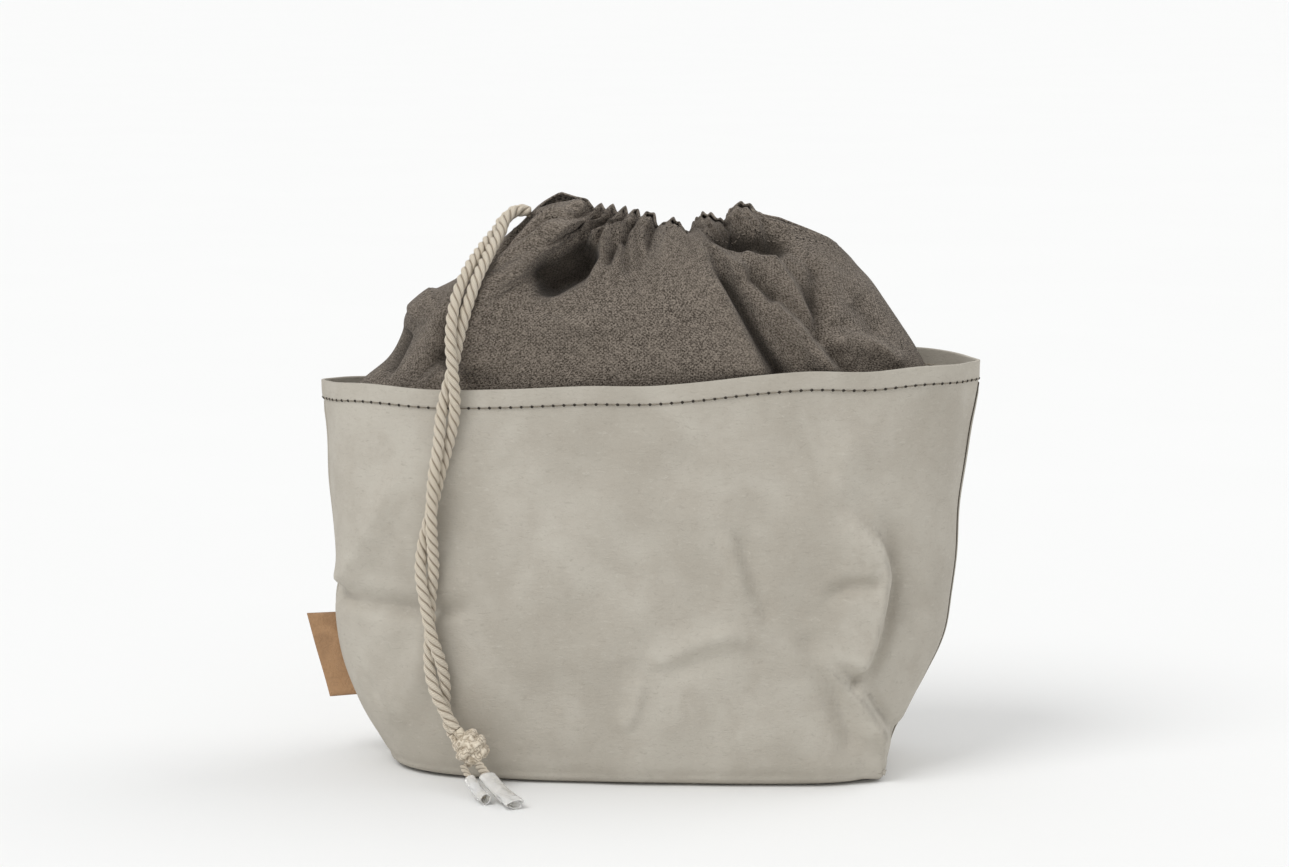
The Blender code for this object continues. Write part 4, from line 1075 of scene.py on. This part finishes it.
def make_channel_stitches():
    """Fine stitches that close the drawstring channel, following its gathers."""
    rows = np.array([CHANNEL_ROW - 0.1, CHANNEL_ROW, CHANNEL_ROW + 0.1])
    grid, _ = liner_grid(rows, LINER_COLUMNS * FINE_COLUMNS)
    stitch_line(
        "channel_stitches", grid[1], outward(grid)[1], CHANNEL_PITCH, CHANNEL_STITCH,
        "channel_thread", "liner_cotton",
    )


def seam_line(index, drift):
    """Points up a side seam, which bows towards the front, with their outward and side ways."""
    low, high = np.linspace(SEAM_BOTTOM, SEAM_HEM, 100), np.linspace(SEAM_HEM + 1.0, SEAM_TOP, 14)
    rows = np.concatenate([low, high])
    grid, _ = shell_grid(rows, SHELL_COLUMNS)
    column = index + drift * np.sin(np.linspace(0.0, math.pi, len(rows))) + 0.001
    low = np.floor(column).astype(int)
    part = (column - low)[:, None]
    each = np.arange(len(rows))
    around = np.roll(grid, -1, axis=1) - np.roll(grid, 1, axis=1)
    picked = []
    for field in (grid, outward(grid), around):
        after = field[each, (low + 1) % field.shape[1]]
        picked.append(field[each, low % field.shape[1]] * (1 - part) + after * part)
    line, outer, around = picked
    return line + outer * 0.05, outer, unit(around)


def make_seam(name, line, outer, around):
    """The narrow turned edge of a side seam, from under the hem down to the base."""
    step = np.arange(len(line))
    fade = np.minimum(1.0, np.minimum(step, step[::-1]) / SEAM_FADE_ROWS)
    high = SEAM_RISE * (0.3 + 0.7 * fade)
    points = rings_round(line, around, outer, SEAM_HALF_WIDTH, high, SEAM_SIDES)
    angle = 2 * math.pi * np.arange(SEAM_SIDES) / SEAM_SIDES
    relief = np.tile(0.5 + 2.0 * np.maximum(0.0, np.sin(angle)), len(line))
    faces = ring_faces(len(line), SEAM_SIDES)
    place_piece(mesh_from(name, points, faces, None, relief), "paper_cloth", "paper_cloth")


def make_seam_shade(name, line):
    """A dark line of painted shade beside a seam's turned edge, made as a thin tube in the thread's
    finish.
    """
    points = oval_rings(line, *SEAM_SHADE_SIZE, STITCH_SIDES)
    tone = np.full(points.shape[:2], SEAM_SHADE_TONE)
    mesh = mesh_from(name, points, ring_faces(len(line), STITCH_SIDES), None, tone)
    place_piece(mesh, "hem_thread_and_shade", "paper_cloth")


def make_seams():
    """Both side seams, and the line of painted shade beside the right one."""
    make_seam("seam_left", *seam_line(0, 0.0))
    line, outer, around = seam_line(SHELL_COLUMNS, SEAM_DRIFT)
    make_seam("seam_right", line, outer, around)
    beside = line - around * SEAM_SHADE_AWAY + outer * 0.05
    make_seam_shade("seam_shade_right", beside)


def rope_mesh(name, line, wide, high, lay=ROPE_LAY, sides=ROPE_SIDES, depth=1.0):
    """Three strands laid together along a line; half width and half height in millimetres."""
    degrees = np.arange(sides) * 360.0 / sides
    off = np.radians((degrees + 60.0) % 120.0 - 60.0)
    flank = STRAND_OUT * np.sin(off)
    strands = STRAND_OUT * np.cos(off) + np.sqrt(np.maximum(STRAND_RADIUS**2 - flank**2, 0.0))
    profile = 1 + depth * (strands - 1)
    way = unit(np.gradient(line, axis=0))
    length = lengths_along(line)
    side = np.cross(way[0], (0.0, 1.0, 0.0))
    rings = []
    for point, direction, reached in zip(line, way, length):
        side = unit(side - direction * np.dot(side, direction))
        up = np.cross(direction, side)
        angle = (np.radians(degrees) - 2 * math.pi * reached / lay)[:, None]
        out = wide * np.cos(angle) * side + high * np.sin(angle) * up
        rings.append(point + profile[:, None] * out)
    faces = ring_faces(len(line), sides)
    places = corner_places(faces, length, np.linspace(0.0, 1.0, sides + 1), sides)
    return mesh_from(name, rings, faces, places, np.tile(profile, len(line)))


def make_ropes():
    """The two free tails of the drawstring, from the mouth's ear to the knot."""
    for side, line in zip(("left", "right"), rope_pair()):
        tail = split_at_knot(line, KNOT_REACH + 0.1)[0]
        mesh = rope_mesh("rope_tail_" + side, tail, ROPE_DIAMETER / 2, ROPE_DIAMETER / 2)
        rope = place_piece(mesh, "rope_cotton", "rope_cotton", "rope_" + side)
        float(lengths_along(tail)[-1]) * MM


def make_knot():
    """Overhand knot of both ropes: wraps round a core, each with its strands."""
    centre = np.array(KNOT_CENTRE)
    turns = np.linspace(0.0, 2 * math.pi, KNOT_STEPS + 1)[:, None]
    lines = []
    for lean, shift, size in KNOT_WRAPS:
        tilt = math.radians(lean)
        axis = np.array([-math.sin(tilt), 0.1, math.cos(tilt)])
        flat = np.array([math.cos(tilt), 0.0, math.sin(tilt)])
        ring = flat * np.cos(turns) + np.array([0.0, 1.0, 0.0]) * np.sin(turns)
        lines.append(centre + axis * shift + size * ring)
    for line in rope_pair():
        entry = split_at_knot(line, KNOT_REACH - 0.1)[1]
        inside = np.linspace(centre, centre + (0.4, -2.4, -4.0), 8)
        lines.append(np.concatenate([entry[:KNOT_ENTRY_POINTS], inside]))
    whole = bmesh.new()
    for line in lines:
        whole.from_mesh(
            rope_mesh("wrap", line, KNOT_STRAND, KNOT_STRAND, KNOT_LAY, KNOT_SIDES, KNOT_GROOVE)
        )
    middle = Matrix.Translation(centre * MM)
    bmesh.ops.create_icosphere(whole, subdivisions=3, radius=KNOT_CORE * MM, matrix=middle)
    mesh = bpy.data.meshes.new("knot_wraps")
    whole.to_mesh(mesh)
    whole.free()
    mesh.shade_smooth()
    knot = place_piece(mesh, "knot_cotton", "rope_cotton", "knot")
    fuse = knot.modifiers.new("fuse", "REMESH")
    fuse.mode = "VOXEL"
    fuse.voxel_size = KNOT_VOXEL * MM
    fuse.use_smooth_shade = True


def sleeve_rings(line, wide, high, crumple):
    """Rings of a clear sleeve, crumpled towards its far end."""
    rings = oval_rings(line, wide, high, SLEEVE_SIDES)
    middle = rings.mean(axis=1, keepdims=True)
    along = np.linspace(0.0, 1.0, len(line))[:, None]
    around = np.linspace(0.0, 2 * math.pi, SLEEVE_SIDES, endpoint=False)[None, :]
    wave = np.sin(3 * around + 7 * along + 0.4) + 0.6 * np.sin(5 * around - 11 * along)
    squeeze = 1 + crumple * wave * smooth((along - 0.25) / 0.6)
    return middle + (rings - middle) * squeeze[..., None]


def make_end(name, start, end, wide, high, cover, sleeve_wide, sleeve_high, crumple):
    """One rope end below the knot and the clear sleeve shrunk round it."""
    line = end_line(start, end)
    inside = line[: int(len(line) * END_IN_SLEEVE)]
    mesh = rope_mesh("rope_end_" + name, inside, wide, high, END_LAY)
    place_piece(mesh, "rope_cotton", "rope_cotton", "end_" + name)
    covered = line[int(round(cover * END_STEPS)) :]
    sides = SLEEVE_SIDES
    outer = sleeve_rings(covered, sleeve_wide, sleeve_high, crumple)
    bore = sleeve_rings(covered, sleeve_wide - SLEEVE_WALL, sleeve_high - SLEEVE_WALL, crumple)
    skin = len(covered) * sides
    last = skin - sides
    walls = ring_faces(len(covered), sides, caps=False)
    faces = [tuple(reversed(face)) for face in walls]
    faces += [tuple(corner + skin for corner in face) for face in walls]
    for i in range(sides):
        after = (i + 1) % sides
        faces.append((i, after, skin + after, skin + i))
        faces.append((last + after, last + i, skin + last + i, skin + last + after))
    mesh = mesh_from("film_sleeve_" + name, np.concatenate([outer, bore]), faces)
    place_piece(mesh, "clear_film", "clear_sleeve", "sleeve_" + name)


def make_tag():
    """Folded strip sewn into the left seam, with soft edges and a slight curl."""
    side = shell_grid(np.linspace(TAG_BOTTOM, TAG_TOP, TAG_ROWS), SHELL_COLUMNS)[0][:, 0]
    ends = np.linspace(side[0], side[-1], TAG_ROWS)
    corners = np.linspace(0.0, 2 * math.pi, TAG_SIDES, endpoint=False)
    across = np.sign(np.cos(corners)) * np.abs(np.cos(corners)) ** 0.25
    thick = np.sign(np.sin(corners)) * np.abs(np.sin(corners)) ** 0.8
    near, far = TOUCH_GAP * 1.4, TAG_WIDTH
    out = (near + far) / 2 - across * (far - near) / 2
    points, relief = [], []
    for place, straight, share in zip(side, ends, np.linspace(0.0, 1.0, TAG_ROWS)):
        lean = -1.5 + 3.0 * share
        rounded = min(1.0, 8.0 * min(share, 1.0 - share) + 0.72)
        curl = 0.35 * math.sin(2.2 * math.pi * share + 0.4) * out / TAG_WIDTH
        x = place[0] + (straight[0] - place[0]) * out / TAG_WIDTH - out
        y = place[1] + thick * TAG_THICK / 2 * rounded + lean * out / TAG_WIDTH + curl
        points.append(np.stack([x, y, place[2] - 0.08 * out], axis=1))
        relief.append(np.maximum(np.abs(across) ** 8, abs(2 * share - 1) ** 14))
    mesh = mesh_from("side_tag", points, ring_faces(TAG_ROWS, TAG_SIDES), None, relief)
    turned = bmesh.new()
    turned.from_mesh(mesh)
    bmesh.ops.recalc_face_normals(turned, faces=turned.faces)
    turned.to_mesh(mesh)
    turned.free()
    place_piece(mesh, "tag_leather", "tag_leather", "tag")


def make_camera():
    """The picture's camera: a little to the right of the front and looking slightly down."""
    turn, pitch = math.radians(CAMERA_TURN), math.radians(CAMERA_PITCH)
    forward = Vector(
        (-math.sin(turn) * math.cos(pitch), math.cos(turn) * math.cos(pitch), -math.sin(pitch))
    )
    right = Vector((math.cos(turn), math.sin(turn), 0.0))
    data = bpy.data.cameras.new("picture_camera")
    data.sensor_width = SENSOR_WIDTH
    data.lens = FOCAL_PIXELS / PICTURE_WIDTH * SENSOR_WIDTH
    data.clip_start = 0.01
    x, y = CAMERA_DISTANCE * math.sin(turn), -CAMERA_DISTANCE * math.cos(turn)
    place = Matrix.Translation((CAMERA_AIM_X + x, y, CAMERA_HEIGHT))
    facing = Matrix((right, right.cross(forward), -forward)).transposed()
    camera = add_object("picture_camera", data)
    camera.matrix_world = place @ facing.to_4x4()
    bpy.context.scene.camera = camera


def add_sun(name, strength, spread, aim):
    """A soft, even light from one direction."""
    light = bpy.data.lights.new(name, "SUN")
    light.energy = strength
    light.angle = math.radians(spread)
    lamp = add_object(name, light)
    lamp.rotation_euler = (-Vector(aim)).to_track_quat("-Z", "Y").to_euler()


def make_stage(settings):
    """Pale floor and soft studio light."""
    world = bpy.data.worlds.new("studio")
    world.use_nodes = True
    sky = world.node_tree.nodes["Background"]
    sky.inputs["Color"].default_value = (1.0, 1.0, 1.0, 1.0)
    sky.inputs["Strength"].default_value = settings.sky_strength
    bpy.context.scene.world = world
    bpy.context.scene.view_settings.view_transform = "Standard"
    add_sun("key_light", settings.key_strength, KEY_SPREAD, KEY_FROM)
    add_sun("side_light", settings.side_strength, SIDE_SPREAD, SIDE_FROM)
    mesh = bpy.data.meshes.new("floor")
    corners = Vector((-1, -1, 0)), Vector((1, -1, 0)), Vector((1, 1, 0)), Vector((-1, 1, 0))
    mesh.from_pydata([corner * FLOOR_REACH for corner in corners], [], [(0, 1, 2, 3)])
    finish = Finish("pale_floor", 0.9, Specular_IOR_Level=0.1)
    clouds = finish.mottling(3.0)["Cloud"]
    shade = finish.colours(clouds, settings.floor_colour, settings.floor_light)
    finish.feed(finish.shader["Base Color"], shade)
    mesh.materials.append(finish.material)
    add_object("floor", mesh)


def colour_setting(label, description, value):
    return FloatVectorProperty(
        name=label, description=description, subtype="COLOR", size=4, min=0.0, max=1.0,
        default=(*value, 1.0),
    )


def number_setting(label, description, default, low, high, unit="NONE"):
    return FloatProperty(
        name=label, description=description, unit=unit, precision=4, min=low, max=high,
        default=default,
    )


class BreadBagSettings(bpy.types.PropertyGroup):
    """Sizes, colours and lights that a user of this bag would change."""

    paper_colour: colour_setting("Paper", "Main colour of the paper cloth", (0.425, 0.392, 0.333))
    paper_light: colour_setting("Paper light", "Lighter clouds", (0.478, 0.444, 0.383))
    paper_warm: colour_setting("Paper warm", "Warmer streaks", (0.385, 0.345, 0.288))
    # Used for painted shade in crease valleys, and for real specks and dark scratches.
    paper_dark_and_shade: colour_setting("Paper dark", "Colour in creases", (0.30, 0.27, 0.225))
    paper_worn: colour_setting("Paper worn", "Colour on worn crests", (0.53, 0.50, 0.435))
    liner_colour: colour_setting("Cotton", "Main colour of the inner bag", (0.150, 0.124, 0.098))
    liner_light: colour_setting("Cotton light", "Faded thread", (0.315, 0.268, 0.222))
    liner_dark: colour_setting("Cotton dark", "Darker thread", (0.040, 0.032, 0.024))
    # Painted shade deep in the folds of the inner bag, and at the holes of the channel stitches.
    liner_shade: colour_setting("Cotton deep", "Colour deep in folds", (0.030, 0.024, 0.018))
    rope_colour: colour_setting("Rope", "Main colour of the rope", (0.80, 0.725, 0.60))
    rope_shade: colour_setting("Rope shade", "Colour between the yarns", (0.54, 0.465, 0.365))
    # Painted shade between the rope's strands and in the knot's gaps.
    rope_gap_shade: colour_setting("Rope deep", "Colour between the strands", (0.20, 0.14, 0.085))
    rope_warm: colour_setting("Rope warm", "Warmer patches", (0.66, 0.57, 0.43))
    film_colour: colour_setting("Film", "Colour of the clear sleeves", (0.97, 0.955, 0.92))
    film_light: colour_setting("Film light", "Lighter parts", (0.98, 0.98, 0.97))
    tag_colour: colour_setting("Tag", "Main colour of the tag", (0.33, 0.19, 0.095))
    tag_light: colour_setting("Tag light", "Lighter patches", (0.41, 0.24, 0.122))
    tag_dark: colour_setting("Tag dark", "Rubbed edges", (0.17, 0.085, 0.04))
    thread_colour: colour_setting("Thread", "Hem thread", (0.27, 0.235, 0.185))
    # Painted shade where the hem thread sinks into its holes, and in the dark line beside the right
    # seam.
    thread_shade: colour_setting("Thread dark", "Thread in its holes", (0.035, 0.028, 0.022))
    bobbin_colour: colour_setting("Bobbin", "Thread inside the hem", (0.42, 0.36, 0.28))
    floor_colour: colour_setting("Floor", "Main colour of the floor", (0.860, 0.864, 0.860))
    floor_light: colour_setting("Floor light", "Lighter patches", (0.864, 0.868, 0.864))
    stitch_pitch: number_setting(
        "Stitch pitch", "Distance between hem stitches", 0.0048, 0.002, 0.010, "LENGTH"
    )
    weave_pitch: number_setting(
        "Thread pitch", "Distance between threads of the inner bag", 0.0008, 0.0003, 0.003, "LENGTH"
    )
    sky_strength: number_setting("Sky", "Strength of the even light", 0.70, 0.0, 5.0)
    key_strength: number_setting("Key light", "Strength of the main light", 1.22, 0.0, 20.0)
    side_strength: number_setting("Side light", "Strength of the right light", 0.55, 0.0, 20.0)


class BREADBAG_OT_stage(bpy.types.Operator):
    """Add the camera, the pale floor and the soft light"""

    bl_idname = "bread_bag.stage"
    bl_label = "Camera, Floor and Light"
    bl_options = {"REGISTER", "UNDO"}

    def execute(self, context):
        make_camera()
        make_stage(context.scene.bread_bag)
        return {"FINISHED"}


class BREADBAG_OT_drawstring(bpy.types.Operator):
    """Add the knot, the rope ends in their clear sleeves and the two rope tails"""

    bl_idname = "bread_bag.drawstring"
    bl_label = "Rope Drawstring"
    bl_options = {"REGISTER", "UNDO"}

    def execute(self, context):
        make_knot()
        for row in ROPE_ENDS:
            make_end(*row)
        make_ropes()
        return {"FINISHED"}


class BREADBAG_OT_shell(bpy.types.Operator):
    """Add the paper-cloth shell"""

    bl_idname = "bread_bag.shell"
    bl_label = "Paper-Cloth Shell"
    bl_options = {"REGISTER", "UNDO"}

    def execute(self, context):
        make_shell()
        return {"FINISHED"}


class BREADBAG_OT_liner(bpy.types.Operator):
    """Add the gathered cotton inner bag"""

    bl_idname = "bread_bag.liner"
    bl_label = "Cotton Inner Bag"
    bl_options = {"REGISTER", "UNDO"}

    def execute(self, context):
        make_liner()
        return {"FINISHED"}


class BREADBAG_OT_sewing(bpy.types.Operator):
    """Add the hem stitches, the side seams and the stitches of the drawstring channel"""

    bl_idname = "bread_bag.sewing"
    bl_label = "Seams and Stitches"
    bl_options = {"REGISTER", "UNDO"}

    def execute(self, context):
        make_hem_stitches(context.scene.bread_bag.stitch_pitch / MM)
        make_seams()
        make_channel_stitches()
        return {"FINISHED"}


class BREADBAG_OT_tag(bpy.types.Operator):
    """Add the plain side tag"""

    bl_idname = "bread_bag.tag"
    bl_label = "Side Tag"
    bl_options = {"REGISTER", "UNDO"}

    def execute(self, context):
        make_tag()
        return {"FINISHED"}


OPERATORS = (
    BREADBAG_OT_stage,
    BREADBAG_OT_drawstring,
    BREADBAG_OT_shell,
    BREADBAG_OT_liner,
    BREADBAG_OT_sewing,
    BREADBAG_OT_tag,
)


class BREADBAG_PT_panel(bpy.types.Panel):
    """Sidebar panel with the bag's pieces in building order"""

    bl_idname = "BREADBAG_PT_panel"
    bl_label = "Bread Bag"
    bl_space_type = "VIEW_3D"
    bl_region_type = "UI"
    bl_category = "Bread Bag"

    def draw(self, context):
        for operator in OPERATORS:
            self.layout.operator(operator.bl_idname)
        for name in BreadBagSettings.__annotations__:
            self.layout.prop(context.scene.bread_bag, name)


CLASSES = (BreadBagSettings, *OPERATORS, BREADBAG_PT_panel)


def register():
    for item in CLASSES:
        bpy.utils.register_class(item)
    bpy.types.Scene.bread_bag = PointerProperty(type=BreadBagSettings)


def unregister():
    del bpy.types.Scene.bread_bag
    for item in reversed(CLASSES):
        bpy.utils.unregister_class(item)


def main():
    """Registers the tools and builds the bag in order."""
    register()
    bag = bpy.ops.bread_bag
    for build in (bag.stage, bag.drawstring, bag.shell, bag.liner, bag.sewing, bag.tag):
        build()


if __name__ == "__main__":
    main()
